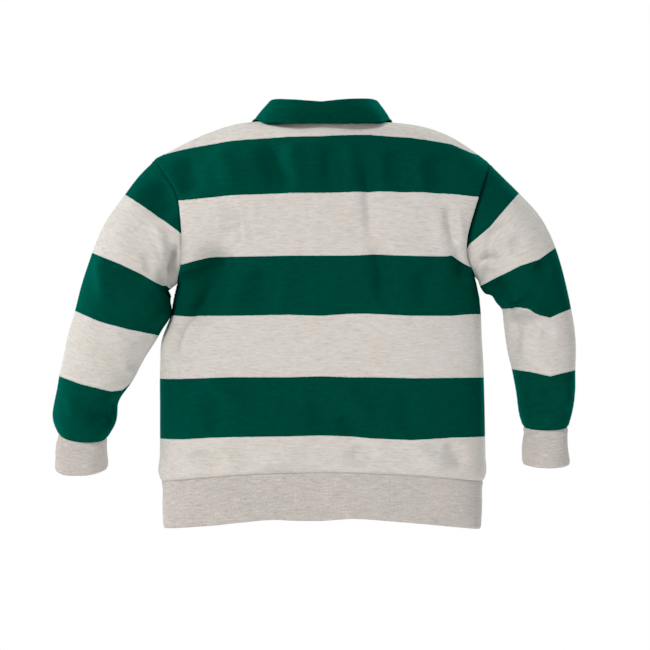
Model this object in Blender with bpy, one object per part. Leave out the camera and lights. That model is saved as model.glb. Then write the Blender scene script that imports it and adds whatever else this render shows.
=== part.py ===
"""Child's long-sleeve polo shirt in heavy jersey, filled out as it is worn.

The front of the shirt faces -Y, +X is the wearer's left and +Z is up. The origin is on the
centre line, at the height of the collar's lower edge, where the shirt hangs from the shoulders.
Every piece is a thin wall: its outer face is a grid of points read from smooth curves through
the tables below, and its inner face is that grid moved in by the cloth's thickness.
Lengths are in metres.
"""

import math
from collections import namedtuple

import bmesh
import bpy
import numpy as np
from mathutils import Vector
from mathutils.bvhtree import BVHTree

# Cloth
JERSEY_WALL = 0.0022
RIB_WALL = 0.0026
COLLAR_WALL = 0.0020
PLACKET_WALL = 0.0016
SEAM_GAP = 0.0003
CLOTH_ROUGHNESS = 0.9
SHARP_ANGLE = 40.0

# Grid of the two body panels: columns run from the left side seam to the right one
SHOULDER_CELLS = 7
NECK_CELLS = 14
PANEL_CELLS = 2 * SHOULDER_CELLS + NECK_CELLS
MIDDLE = PANEL_CELLS // 2
ARMHOLE_CELLS = 11
SIDE_ROWS = (0.0, 0.03, 0.075, 0.14, 0.22, 0.30, 0.38, 0.46, 0.54, 0.61, 0.68, 0.75, 0.81,
             0.87, 0.93, 1.0)
SQUARENESS = 2.6
SHOULDER_ROUNDNESS = 2.2
NECK_ROUNDNESS = {"back": 3.6, "front": 2.3}
NECK_ROUND_REACH = 0.15
FULLNESS = {"back": 0.006, "front": 0.004}
FULLNESS_RISE = 1.3

# Body from the hem seam to the underarm: where each side seam lies, the height of the middle,
# and how far the back and the front stand from the centre plane
Level = namedtuple("Level", "share left_x left_z right_x right_z middle_z back front")
BODY_LEVELS = (
    Level(0.00, 0.2002, -0.4455, 0.2010, -0.4450, -0.4310, 0.0720, 0.0730),
    Level(0.03, 0.2032, -0.4380, 0.2040, -0.4375, -0.4250, 0.0765, 0.0775),
    Level(0.12, 0.2022, -0.4150, 0.2038, -0.4150, -0.4040, 0.0755, 0.0780),
    Level(0.35, 0.2018, -0.3600, 0.2028, -0.3590, -0.3510, 0.0720, 0.0790),
    Level(0.60, 0.2016, -0.3000, 0.2010, -0.2970, -0.2930, 0.0705, 0.0800),
    Level(0.72, 0.2000, -0.2710, 0.1990, -0.2660, -0.2640, 0.0710, 0.0805),
    Level(0.85, 0.1885, -0.2380, 0.1975, -0.2310, -0.2310, 0.0730, 0.0810),
    Level(0.93, 0.1855, -0.2180, 0.1950, -0.2090, -0.2110, 0.0745, 0.0810),
    Level(1.00, 0.1806, -0.1988, 0.1900, -0.1888, -0.1930, 0.0760, 0.0810),
)

# Armhole seams, from the underarm up to the shoulder tip
ArmholeRow = namedtuple("ArmholeRow", "share left_x right_x")
ARMHOLE = (
    ArmholeRow(0.00, 0.1806, 0.1900),
    ArmholeRow(0.15, 0.1742, 0.1790),
    ArmholeRow(0.30, 0.1722, 0.1782),
    ArmholeRow(0.50, 0.1736, 0.1850),
    ArmholeRow(0.70, 0.1790, 0.1940),
    ArmholeRow(0.85, 0.1925, 0.2012),
    ArmholeRow(1.00, 0.2087, 0.2087),
)
ARMHOLE_DEPTH = {"back": 0.044, "front": 0.043}
ARMHOLE_REACH = 0.085
ARMHOLE_PULL = 0.055
ARMHOLE_EASE = 0.5

# Ridge of the shoulders, from the tip to the middle of the neck, with its left and right
# heights. The shoulder seams follow it as far as the neck
ShoulderRow = namedtuple("ShoulderRow", "x left_z right_z")
SHOULDER = (
    ShoulderRow(0.2087, -0.0438, -0.0492),
    ShoulderRow(0.1900, -0.0346, -0.0350),
    ShoulderRow(0.1600, -0.0195, -0.0162),
    ShoulderRow(0.1300, -0.0078, -0.0048),
    ShoulderRow(0.1025, -0.0002, 0.0002),
    ShoulderRow(0.0720, 0.0050, 0.0055),
    ShoulderRow(0.0000, 0.0110, 0.0110),
)
SHOULDER_SEAM_Y = -0.002
NECK_HALF = 0.072
NECK_BACK_Y = 0.046
NECK_FRONT_DROP = 0.056
NECK_FRONT_CURVE = 1.6

# Front opening
PLACKET_HALF = 0.014
PLACKET_FIRST_ROW = 3
PLACKET_OVERLAP = 0.22
PLACKET_FOOT = 0.45
PLACKET_HEAD = 0.25
BUTTON_RADIUS = 0.0058
BUTTON_HEIGHT = 0.0028
BUTTON_COUNT = 3
BUTTON_SIDES = 20
BUTTON_ROUGHNESS = 0.35
FIRST_BUTTON = 0.90
BUTTON_STEP = 0.36

# Outline of a button from its back to the middle of its dished face, as shares of its radius
# and height
ProfilePoint = namedtuple("ProfilePoint", "out up")
BUTTON_PROFILE = (
    ProfilePoint(0.00, 0.00),
    ProfilePoint(0.92, 0.00),
    ProfilePoint(1.00, 0.25),
    ProfilePoint(1.00, 0.80),
    ProfilePoint(0.92, 1.00),
    ProfilePoint(0.72, 1.00),
    ProfilePoint(0.62, 0.75),
    ProfilePoint(0.00, 0.75),
)

# Sleeves from the armhole to the cuff seam. Each row is a ring: its outer and inner point seen
# from behind, the middle's distance from the centre plane, half its depth and its forward lean
Ring = namedtuple("Ring", "share outer_x outer_z inner_x inner_z middle_y depth lean")
SLEEVE_RINGS = {
    "left": (
        Ring(0.00, 0.2087, -0.0438, 0.1806, -0.1988, 0.0000, 0.0435, 0.0),
        Ring(0.12, 0.2290, -0.0640, 0.1868, -0.2066, 0.0010, 0.0465, 0.0),
        Ring(0.25, 0.2480, -0.0885, 0.1895, -0.2135, 0.0020, 0.0490, 1.0),
        Ring(0.38, 0.2700, -0.1220, 0.1905, -0.2225, 0.0040, 0.0500, 2.0),
        Ring(0.50, 0.2890, -0.1660, 0.1930, -0.2390, 0.0050, 0.0500, 4.0),
        Ring(0.62, 0.3065, -0.2230, 0.2030, -0.2575, 0.0030, 0.0490, 8.0),
        Ring(0.74, 0.3200, -0.2725, 0.2170, -0.2840, -0.0030, 0.0460, 12.0),
        Ring(0.84, 0.3305, -0.3150, 0.2355, -0.3175, -0.0120, 0.0425, 15.0),
        Ring(0.92, 0.3380, -0.3490, 0.2580, -0.3505, -0.0210, 0.0385, 16.0),
        Ring(0.97, 0.3400, -0.3720, 0.2600, -0.3760, -0.0275, 0.0355, 17.0),
        Ring(1.00, 0.3320, -0.3875, 0.2725, -0.3935, -0.0310, 0.0270, 17.0),
    ),
    "right": (
        Ring(0.00, 0.2087, -0.0492, 0.1900, -0.1888, 0.0000, 0.0435, 0.0),
        Ring(0.12, 0.2278, -0.0672, 0.1965, -0.1960, 0.0010, 0.0465, 0.0),
        Ring(0.25, 0.2496, -0.0900, 0.2030, -0.2050, 0.0020, 0.0490, 0.0),
        Ring(0.38, 0.2728, -0.1185, 0.2095, -0.2150, 0.0030, 0.0500, 1.0),
        Ring(0.50, 0.2912, -0.1545, 0.2175, -0.2250, 0.0040, 0.0495, 2.0),
        Ring(0.60, 0.3022, -0.1880, 0.2240, -0.2325, 0.0040, 0.0490, 3.0),
        Ring(0.70, 0.3110, -0.2280, 0.2265, -0.2480, 0.0030, 0.0470, 5.0),
        Ring(0.80, 0.3172, -0.2720, 0.2300, -0.2740, 0.0000, 0.0445, 7.0),
        Ring(0.88, 0.3175, -0.3080, 0.2355, -0.3050, -0.0040, 0.0415, 8.0),
        Ring(0.95, 0.3170, -0.3450, 0.2440, -0.3430, -0.0090, 0.0380, 9.0),
        Ring(0.98, 0.3130, -0.3675, 0.2470, -0.3665, -0.0120, 0.0350, 9.0),
        Ring(1.00, 0.3082, -0.3785, 0.2535, -0.3785, -0.0140, 0.0260, 9.0),
    ),
}
SLEEVE_ROWS = (0.0, 0.06, 0.12, 0.18, 0.25, 0.31, 0.38, 0.44, 0.50, 0.56, 0.62, 0.68, 0.74,
               0.80, 0.86, 0.91, 0.955, 0.985, 1.0)
ARMHOLE_BOW_END = 0.34
SLEEVE_FOLD_FADE = 0.05

# Cuffs below the sleeve's last ring
CUFF_RINGS = {
    "left": (
        Ring(0.0, 0.3320, -0.3875, 0.2725, -0.3935, -0.0310, 0.0270, 17.0),
        Ring(0.5, 0.3375, -0.4100, 0.2722, -0.4125, -0.0380, 0.0280, 17.0),
        Ring(1.0, 0.3398, -0.4335, 0.2722, -0.4325, -0.0450, 0.0295, 17.0),
    ),
    "right": (
        Ring(0.0, 0.3082, -0.3785, 0.2535, -0.3785, -0.0140, 0.0260, 9.0),
        Ring(0.5, 0.3102, -0.4020, 0.2525, -0.4015, -0.0180, 0.0270, 9.0),
        Ring(1.0, 0.3116, -0.4262, 0.2520, -0.4255, -0.0215, 0.0285, 9.0),
    ),
}
CUFF_ROWS = (0.0, 0.1, 0.5, 1.0)

# Hem rib below the hem seam: how far down each row is, and how far in from the seam line
RibRow = namedtuple("RibRow", "down inset")
HEM_ROWS = (
    RibRow(0.0000, 0.0000),
    RibRow(0.0060, 0.0010),
    RibRow(0.0300, 0.0015),
    RibRow(0.0580, 0.0024),
)

# Collar from the middle of the back to the front edge: the fold and the lower edge of the fall
CollarRow = namedtuple("CollarRow", "share left_x right_x fold_y fold_z edge_x edge_y edge_z")
COLLAR = (
    CollarRow(0.00, 0.0000, 0.0000, 0.0430, 0.0225, 0.0000, 0.0600, -0.0050),
    CollarRow(0.18, 0.0360, 0.0370, 0.0380, 0.0260, 0.0410, 0.0560, -0.0045),
    CollarRow(0.34, 0.0600, 0.0640, 0.0180, 0.0280, 0.0730, 0.0330, -0.0020),
    CollarRow(0.45, 0.0645, 0.0690, -0.0030, 0.0262, 0.0852, -0.0010, 0.0005),
    CollarRow(0.60, 0.0600, 0.0625, -0.0260, 0.0140, 0.0880, -0.0330, -0.0090),
    CollarRow(0.75, 0.0465, 0.0470, -0.0470, -0.0060, 0.0810, -0.0640, -0.0390),
    CollarRow(0.89, 0.0240, 0.0240, -0.0610, -0.0240, 0.0620, -0.0830, -0.0680),
    CollarRow(1.00, 0.0030, 0.0030, -0.0660, -0.0310, 0.0400, -0.0880, -0.0850),
)
COLLAR_FOLD_RADIUS = 0.0016
COLLAR_CLEARANCE = 0.0020
COLLAR_END = 0.12
FALL_PLACES = (0.3, 0.6, 0.85, 1.0)
FALL_BULGE = 0.002
LAY_REACH = 0.02

# The largest folds of the body. Each runs from a start to an end, seen from behind, as a soft
# ridge where its height is positive and a trough where it is negative
Fold = namedtuple("Fold", "side x0 z0 x1 z1 width height")
BODY_FOLDS = (
    Fold("back", 0.094, -0.110, 0.104, -0.170, 0.016, 0.0035),
    Fold("back", 0.104, -0.170, 0.150, -0.215, 0.016, 0.0045),
    Fold("back", 0.135, -0.160, 0.172, -0.205, 0.015, -0.0045),
    Fold("back", 0.156, -0.050, 0.158, -0.100, 0.014, -0.0035),
    Fold("back", 0.085, -0.030, 0.083, -0.088, 0.014, -0.0020),
    Fold("back", -0.064, -0.095, -0.078, -0.170, 0.014, -0.0020),
    Fold("back", -0.156, -0.085, -0.166, -0.165, 0.014, -0.0040),
    Fold("back", -0.130, -0.100, -0.142, -0.160, 0.014, 0.0025),
    Fold("back", -0.164, -0.175, -0.180, -0.235, 0.016, -0.0035),
    Fold("front", 0.150, -0.070, 0.160, -0.150, 0.015, -0.0040),
    Fold("front", 0.105, -0.125, 0.155, -0.205, 0.016, 0.0035),
    Fold("front", 0.070, -0.215, 0.140, -0.265, 0.018, -0.0025),
    Fold("front", -0.150, -0.075, -0.162, -0.150, 0.015, -0.0040),
    Fold("front", -0.100, -0.130, -0.152, -0.200, 0.016, 0.0035),
    Fold("front", -0.050, -0.265, -0.130, -0.300, 0.018, -0.0025),
)
FOLD_SEAM_MARGIN = 0.022

# The largest folds of the sleeves: where along and around the sleeve each one lies. A turn of 0
# is the underarm, 90 the back, 180 the outer side and 270 the front
SleeveFold = namedtuple("SleeveFold", "share turn length width height")
SLEEVE_FOLDS = {
    "left": (
        SleeveFold(0.20, 48.0, 34.0, 0.035, -0.0050),
        SleeveFold(0.45, 60.0, 38.0, 0.035, -0.0045),
        SleeveFold(0.62, 62.0, 36.0, 0.035, -0.0050),
        SleeveFold(0.80, 300.0, 40.0, 0.030, -0.0045),
        SleeveFold(0.40, 320.0, 60.0, 0.040, -0.0060),
        SleeveFold(0.88, 120.0, 70.0, 0.022, -0.0025),
    ),
    "right": (
        SleeveFold(0.20, 60.0, 35.0, 0.030, -0.0050),
        SleeveFold(0.60, 58.0, 36.0, 0.028, -0.0055),
        SleeveFold(0.70, 85.0, 45.0, 0.028, -0.0050),
        SleeveFold(0.64, 300.0, 40.0, 0.030, -0.0045),
        SleeveFold(0.42, 330.0, 60.0, 0.040, -0.0055),
        SleeveFold(0.88, 300.0, 70.0, 0.024, -0.0030),
    ),
}

# Colours
GREEN = (0.0015, 0.055, 0.036, 1.0)
HEATHER = (0.62, 0.59, 0.55, 1.0)
RIB_HEATHER = (0.48, 0.45, 0.42, 1.0)
BUTTON_WHITE = (0.80, 0.78, 0.74, 1.0)


def through(keys, values, at):
    """Read a smooth curve through a table's values."""
    keys = np.asarray(keys, dtype=float)
    values = np.asarray(values, dtype=float)
    slopes = np.gradient(values, keys)
    at = np.clip(at, keys[0], keys[-1])
    low = np.clip(np.searchsorted(keys, at, side="right") - 1, 0, len(keys) - 2)
    span = keys[low + 1] - keys[low]
    t = (at - keys[low]) / span
    return (values[low] * (2 * t ** 3 - 3 * t ** 2 + 1)
            + slopes[low] * span * (t ** 3 - 2 * t ** 2 + t)
            + values[low + 1] * (3 * t ** 2 - 2 * t ** 3)
            + slopes[low + 1] * span * (t ** 3 - t ** 2))


def column(table, name):
    """One named column of a table."""
    return [getattr(row, name) for row in table]


def read(table, name, share):
    """A table's column at a share of the way along it."""
    return through(column(table, "share"), column(table, name), share)


def smooth_step(t):
    """Ease from 0 to 1."""
    t = np.clip(t, 0.0, 1.0)
    return t * t * (3.0 - 2.0 * t)


def along(line, shares):
    """Points at shares of a polyline's length."""
    steps = np.linalg.norm(np.diff(line, axis=0), axis=1)
    reach = np.concatenate(([0.0], np.cumsum(steps)))
    reach /= reach[-1]
    return np.stack([np.interp(shares, reach, line[:, axis]) for axis in range(3)], axis=1)


def body_ring(side, share, count=241):
    """Half of the body's outline at one height, from the left seam round to the right one."""
    turn = np.linspace(0.0, math.pi, count)
    across, out = np.cos(turn), np.sin(turn)
    left = across >= 0.0
    power = 2.0 / SQUARENESS
    wide = np.where(left, read(BODY_LEVELS, "left_x", share), read(BODY_LEVELS, "right_x", share))
    edge = np.where(left, read(BODY_LEVELS, "left_z", share), read(BODY_LEVELS, "right_z", share))
    x = wide * np.sign(across) * np.abs(across) ** power
    depth = read(BODY_LEVELS, side, share) * np.abs(out) ** power
    middle = read(BODY_LEVELS, "middle_z", share)
    z = middle + (edge - middle) * (x / wide) ** 2
    return np.stack([x, depth if side == "back" else -depth, z], axis=1)


def ridge_z(x):
    """Height of the shoulders' ridge across the body."""
    keys = [-row.x for row in SHOULDER]
    left = through(keys, column(SHOULDER, "left_z"), -np.abs(x))
    right = through(keys, column(SHOULDER, "right_z"), -np.abs(x))
    return np.where(np.asarray(x) >= 0.0, left, right)


def roundness(side, x):
    """How squarely the body rolls over the shoulders, fuller towards the neck."""
    ease = smooth_step(1.0 - np.abs(x) / NECK_ROUND_REACH)
    return SHOULDER_ROUNDNESS + (NECK_ROUNDNESS[side] - SHOULDER_ROUNDNESS) * ease


def roll(side, x, rise):
    """Share of the body's depth left at a share of the way up to the ridge."""
    power = roundness(side, x)
    return np.clip(1.0 - np.clip(rise, 0.0, 1.0) ** power, 0.0, 1.0) ** (1.0 / power)


def neckline(side, turn):
    """Neck seam of one panel, from the left shoulder seam round to the right one."""
    x = NECK_HALF * np.cos(turn)
    ridge = ridge_z(x)
    base = read(BODY_LEVELS, "middle_z", 1.0)
    sign = 1.0 if side == "back" else -1.0
    deep = read(BODY_LEVELS, side, 1.0) - sign * SHOULDER_SEAM_Y
    if side == "back":
        y = SHOULDER_SEAM_Y + (NECK_BACK_Y - SHOULDER_SEAM_Y) * np.sin(turn)
        left = (y - SHOULDER_SEAM_Y) / deep
        power = roundness(side, x)
        z = base + (ridge - base) * (1.0 - left ** power) ** (1.0 / power)
    else:
        z = ridge - (NECK_FRONT_DROP + ridge - ridge_z(NECK_HALF)) * np.sin(turn) ** NECK_FRONT_CURVE
        y = SHOULDER_SEAM_Y - deep * roll(side, x, (z - base) / (ridge - base))
    return np.stack([x, y, z], axis=1)


def length(line):
    """Length of a polyline."""
    return float(np.linalg.norm(np.diff(line, axis=0), axis=1).sum())


def panel_top(side, count=121):
    """Points of a panel's upper edge, one for each column: shoulder, neckline, shoulder."""
    xs = np.linspace(SHOULDER[0].x, NECK_HALF, count)
    left = np.stack([xs, np.full(count, SHOULDER_SEAM_Y), ridge_z(xs)], axis=1)
    right = np.stack([-xs, np.full(count, SHOULDER_SEAM_Y), ridge_z(-xs)], axis=1)[::-1]
    neck = neckline(side, np.linspace(0.0, math.pi, 2 * count + 1))
    middle = PLACKET_HALF / length(neck)
    half = NECK_CELLS // 2
    neck_shares = np.concatenate((
        np.linspace(0.0, 0.5 - middle, half),
        [0.5],
        np.linspace(0.5 + middle, 1.0, half),
    ))
    shoulder_shares = np.linspace(0.0, 1.0, SHOULDER_CELLS + 1)
    return np.concatenate((
        along(left, shoulder_shares)[:-1],
        along(neck, neck_shares),
        along(right, shoulder_shares)[1:],
    ))


def panel_row(side, share):
    """Points of one row of a panel below the underarm, one for each column."""
    ring = body_ring(side, share)
    middle = PLACKET_HALF / length(ring)
    shares = np.concatenate((
        np.linspace(0.0, 0.5 - middle, MIDDLE),
        [0.5],
        np.linspace(0.5 + middle, 1.0, MIDDLE),
    ))
    return along(ring, shares)


def armhole_edge(side, hand):
    """Armhole seam of one panel, from the underarm up to the shoulder tip."""
    turn = np.linspace(0.0, math.pi, ARMHOLE_CELLS + 1)
    rise = (1.0 - np.cos(turn)) / 2.0
    first, last = SLEEVE_RINGS[hand][0], BODY_LEVELS[-1]
    low_z = getattr(last, hand + "_z")
    x = read(ARMHOLE, hand + "_x", rise)
    z = low_z + (first.outer_z - low_z) * rise
    depth = ARMHOLE_DEPTH[side] if side == "back" else -ARMHOLE_DEPTH[side]
    y = depth * np.sin(turn) + SHOULDER_SEAM_Y * rise
    return np.stack([x if hand == "left" else -x, y, z], axis=1)


def fold_push(points, side, folds):
    """How far the folds push each point out of its panel."""
    push = np.zeros(points.shape[:-1])
    for fold in folds:
        if fold.side != side:
            continue
        start = np.array([fold.x0, fold.z0])
        run = np.array([fold.x1, fold.z1]) - start
        flat = points[..., (0, 2)] - start
        t = np.clip(flat @ run / (run @ run), 0.0, 1.0)
        away = np.linalg.norm(flat - t[..., None] * run, axis=-1)
        push += fold.height * np.exp(-(away / fold.width) ** 2)
    return push


def grid_normals(points, closed, flip):
    """Unit normals of a grid of points whose columns may close into a ring."""
    if closed:
        across = np.roll(points, -1, axis=1) - np.roll(points, 1, axis=1)
    else:
        across = np.gradient(points, axis=1)
    normals = np.cross(across, np.gradient(points, axis=0))
    normals /= np.maximum(np.linalg.norm(normals, axis=-1, keepdims=True), 1e-12)
    return -normals if flip else normals


class Piece:
    """A cut piece: the grid of its outer face, the cells that are cloth, and its wall."""

    def __init__(self, name, points, wall, colour, closed=False, flip=False, cells=None,
                 side=None):
        self.name, self.points, self.wall, self.colour = name, points, wall, colour
        self.closed, self.flip, self.side = closed, flip, side or name
        rows, columns = points.shape[:2]
        wide = columns if closed else columns - 1
        self.cells = np.ones((rows - 1, wide), dtype=bool) if cells is None else cells
        self.normals = grid_normals(points, closed, flip)

    def corners(self, row, col):
        """The four corners of a cell."""
        last = self.points.shape[1]
        return ((row, col), (row, (col + 1) % last), (row + 1, (col + 1) % last), (row + 1, col))

    def cloth_cells(self):
        """The cells that are cloth, row by row."""
        return [(row, col) for row in range(self.cells.shape[0])
                for col in range(self.cells.shape[1]) if self.cells[row, col]]

    def borders(self):
        """Each border point with the unit way into the cloth and how many cells it touches."""
        touching, uses = {}, {}
        for row, col in self.cloth_cells():
            ring = self.corners(row, col)
            centre = np.mean([self.points[at] for at in ring], axis=0)
            for here, there in zip(ring, ring[1:] + ring[:1]):
                touching.setdefault(here, []).append(centre)
                edge = tuple(sorted((here, there)))
                uses[edge] = uses.get(edge, 0) + 1
        rim = {at for edge, count in uses.items() if count == 1 for at in edge}
        found = {}
        for at in sorted(rim):
            way = np.mean(touching[at], axis=0) - self.points[at]
            found[at] = (way / np.linalg.norm(way), len(touching[at]))
        return found


def sew(pieces):
    """Give pieces that share a seam the same wall direction there, and part them by the gap."""
    meeting = {}
    for piece in pieces:
        for at, (way, count) in piece.borders().items():
            key = tuple(np.round(piece.points[at] * 1e5).astype(int))
            meeting.setdefault(key, []).append((piece, at, way, count))
    for group in meeting.values():
        sides = {}
        for piece, at, _, _ in group:
            sides[piece.side] = sides.get(piece.side, 0.0) + piece.normals[at]
        shared = np.sum([way / np.linalg.norm(way) for way in sides.values()], axis=0)
        shared /= np.linalg.norm(shared)
        moved = []
        for piece, at, way, count in group:
            others = [other for _, _, other, _ in group if other is not way]
            opening = 1.0
            if others:
                facing = np.sum(others, axis=0)
                facing /= max(np.linalg.norm(facing), 1e-9)
                opening = max(math.sqrt(max(0.0, (1.0 - float(way @ facing)) / 2.0)), 0.3)
            corner = math.sqrt(2.0) if count == 1 else 1.0
            moved.append((piece, at, way * SEAM_GAP / 2.0 * corner / opening))
        for piece, at, shift in moved:
            piece.points[at] = piece.points[at] + shift
            piece.normals[at] = shared


def body_panel(side):
    """Grid of the front or back panel, from the hem seam to the shoulders and neckline."""
    lower = [panel_row(side, share) for share in SIDE_ROWS]
    base, top = lower[-1], panel_top(side)
    edges = {hand: armhole_edge(side, hand) for hand in ("left", "right")}
    turn = np.linspace(0.0, math.pi, ARMHOLE_CELLS + 1)
    rises = (1.0 - np.cos(turn)) / 2.0
    sign = 1.0 if side == "back" else -1.0
    deep = read(BODY_LEVELS, side, 1.0)
    upper = []
    for row in range(1, ARMHOLE_CELLS):
        rise = rises[row]
        x = base[:, 0] + (top[:, 0] - base[:, 0]) * rise
        z = base[:, 2] + (top[:, 2] - base[:, 2]) * rise
        y = np.zeros_like(x)
        for hand, first in (("left", 0), ("right", -1)):
            edge = edges[hand][row]
            near = (x > 0.0) if hand == "left" else (x <= 0.0)
            reach = np.abs(x - x[first])
            shift = (edge[0] - x[first]) * (1.0 - smooth_step(reach / ARMHOLE_REACH))
            x = np.where(near, x + shift, x)
            out = np.clip(np.abs(x) / abs(edge[0]), 0.0, 1.0)
            round_way = (1.0 - out ** SQUARENESS) ** (1.0 / SQUARENESS)
            ridge = ridge_z(x)
            keep = roll(side, x, (z - base[:, 2]) / (ridge - base[:, 2]))
            at_edge = (edge[1] - SHOULDER_SEAM_Y) * sign / max(float(keep[first]), 1e-6)
            eased = ARMHOLE_DEPTH[side] * smooth_step(rise / ARMHOLE_EASE)
            near_edge = 1.0 - smooth_step(np.abs(x - edge[0]) / ARMHOLE_PULL)
            at_edge = eased + (at_edge - eased) * near_edge
            full = deep + FULLNESS[side] * math.sin(math.pi * rise ** FULLNESS_RISE)
            depth = at_edge + (full - at_edge) * round_way
            y = np.where(near, SHOULDER_SEAM_Y * (1.0 - keep) + sign * depth * keep, y)
        points = np.stack([x, y, z], axis=1)
        points[0], points[-1] = edges["left"][row], edges["right"][row]
        upper.append(points)
    return np.array(lower + upper + [top])


def add_folds(points, side, flip):
    """Push a panel's grid out or in along its folds, fading to nothing at the seams."""
    normals = grid_normals(points, False, flip)
    push = fold_push(points, side, BODY_FOLDS)
    edge_x = np.minimum(np.linalg.norm(points - points[:, :1], axis=-1),
                        np.linalg.norm(points - points[:, -1:], axis=-1))
    edge_z = np.minimum(np.linalg.norm(points - points[:1], axis=-1),
                        np.linalg.norm(points - points[-1:], axis=-1))
    fade = smooth_step(np.minimum(edge_x, edge_z) / FOLD_SEAM_MARGIN)
    return points + normals * (push * fade)[..., None]


def ring_points(table, hand, share, count):
    """One ring of a sleeve or cuff: underarm first, then the back, outer side and front."""
    outer = np.array([read(table, "outer_x", share), 0.0, read(table, "outer_z", share)])
    inner = np.array([read(table, "inner_x", share), 0.0, read(table, "inner_z", share)])
    lean = math.radians(read(table, "lean", share))
    depth_way = np.array([0.0, math.cos(lean), -math.sin(lean)])
    turn = 2.0 * math.pi * np.arange(count) / count
    centre = (outer + inner) / 2.0 + np.array([0.0, read(table, "middle_y", share), 0.0])
    points = (centre - np.cos(turn)[:, None] * (outer - inner) / 2.0
              + np.sin(turn)[:, None] * read(table, "depth", share) * depth_way)
    if hand == "right":
        points[:, 0] *= -1.0
    return points


def sleeve_grid(hand):
    """Grid of a sleeve, from the armhole seam to the cuff seam."""
    count = 2 * ARMHOLE_CELLS
    loop = np.concatenate((armhole_edge("back", hand), armhole_edge("front", hand)[-2:0:-1]))
    bow = loop - ring_points(SLEEVE_RINGS[hand], hand, 0.0, count)
    turns = 360.0 * np.arange(count) / count
    rows = []
    for share in SLEEVE_ROWS:
        ring = ring_points(SLEEVE_RINGS[hand], hand, share, count)
        centre = ring.mean(axis=0)
        spread = ring - centre
        spread /= np.linalg.norm(spread, axis=1, keepdims=True)
        push = np.zeros(count)
        for fold in SLEEVE_FOLDS[hand]:
            away = np.abs((turns - fold.turn + 180.0) % 360.0 - 180.0) / fold.length
            push += fold.height * np.exp(-away ** 2 - ((share - fold.share) / fold.width) ** 2)
        fade = smooth_step(min(share, 1.0 - share) / SLEEVE_FOLD_FADE)
        ring = ring + spread * (push * fade)[:, None]
        rows.append(ring + bow * (1.0 - smooth_step(share / ARMHOLE_BOW_END)))
    return np.array(rows)


def cuff_grid(hand):
    """Grid of a cuff, from the seam down to its rim."""
    count = 2 * ARMHOLE_CELLS
    return np.array([ring_points(CUFF_RINGS[hand], hand, share, count) for share in CUFF_ROWS])


def hem_grid(seam):
    """Grid of the hem rib: a ring that hangs from the hem seam, lowest row first."""
    rows = []
    for row in HEM_ROWS:
        flat = seam * np.array([1.0, 1.0, 0.0])
        way = flat / np.linalg.norm(flat, axis=1, keepdims=True)
        rows.append(seam - way * row.inset - np.array([0.0, 0.0, row.down]))
    return np.array(rows[::-1])


def collar_grid(seam_line, shares):
    """Grid of the collar: up the stand, over the fold and down the fall."""
    rows = [[] for _ in range(5 + len(FALL_PLACES))]
    for seam, share in zip(seam_line, shares):
        part = abs(share)
        sign = 1.0 if share >= 0.0 else -1.0
        fold_x = read(COLLAR, "left_x" if share >= 0.0 else "right_x", part)
        fold = np.array([sign * fold_x, read(COLLAR, "fold_y", part),
                         read(COLLAR, "fold_z", part)])
        edge = np.array([sign * read(COLLAR, "edge_x", part), read(COLLAR, "edge_y", part),
                         read(COLLAR, "edge_z", part)])
        out = (edge - fold) * np.array([1.0, 1.0, 0.0])
        out /= np.linalg.norm(out)
        radius = COLLAR_FOLD_RADIUS
        lift = np.array([0.0, 0.0, radius])
        stand_top = fold - out * radius - lift
        fall_top = fold + out * radius - lift
        path = [seam, seam + (stand_top - seam) * 0.5, stand_top, fold, fall_top]
        path += [fall_top + (edge - fall_top) * t + out * FALL_BULGE * math.sin(math.pi * t)
                 for t in FALL_PLACES]
        for row, point in zip(rows, path):
            row.append(point)
    return np.array(rows)


def lay_clear(points, blockers, clearance):
    """Move points out of the pieces below them, to a clearance above their outer faces."""
    for at in np.ndindex(points.shape[:-1]):
        for tree in blockers:
            spot, normal, _, away = tree.find_nearest(Vector(points[at]))
            height = (Vector(points[at]) - spot).dot(normal)
            if away < LAY_REACH and height < clearance:
                points[at] = np.array(spot + normal * clearance)
    return points


def outer_tree(pieces):
    """The outer faces of some pieces, for finding what lies on them."""
    spots, faces = [], []
    for piece in pieces:
        columns = piece.points.shape[1]
        for row, col in piece.cloth_cells():
            ring = [len(spots) + r * columns + c for r, c in piece.corners(row, col)]
            faces.append(ring[::-1] if piece.flip else ring)
        spots += [Vector(p) for p in piece.points.reshape(-1, 3)]
    return BVHTree.FromPolygons(spots, faces)


def material(name, colour, roughness):
    """A plain Principled material."""
    made = bpy.data.materials.new(name)
    made.use_nodes = True
    shader = made.node_tree.nodes["Principled BSDF"]
    shader.inputs["Base Color"].default_value = colour
    shader.inputs["Roughness"].default_value = roughness
    made.diffuse_color = colour
    return made


def add_object(name, work, look):
    """Put a finished bmesh into the scene, shaded smooth, with its faces pointing out."""
    bmesh.ops.recalc_face_normals(work, faces=work.faces)
    mesh = bpy.data.meshes.new(name)
    work.to_mesh(mesh)
    work.free()
    mesh.materials.append(look)
    mesh.shade_smooth()
    mesh.set_sharp_from_angle(angle=math.radians(SHARP_ANGLE))
    made = bpy.data.objects.new(name, mesh)
    bpy.context.collection.objects.link(made)
    return made


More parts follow.
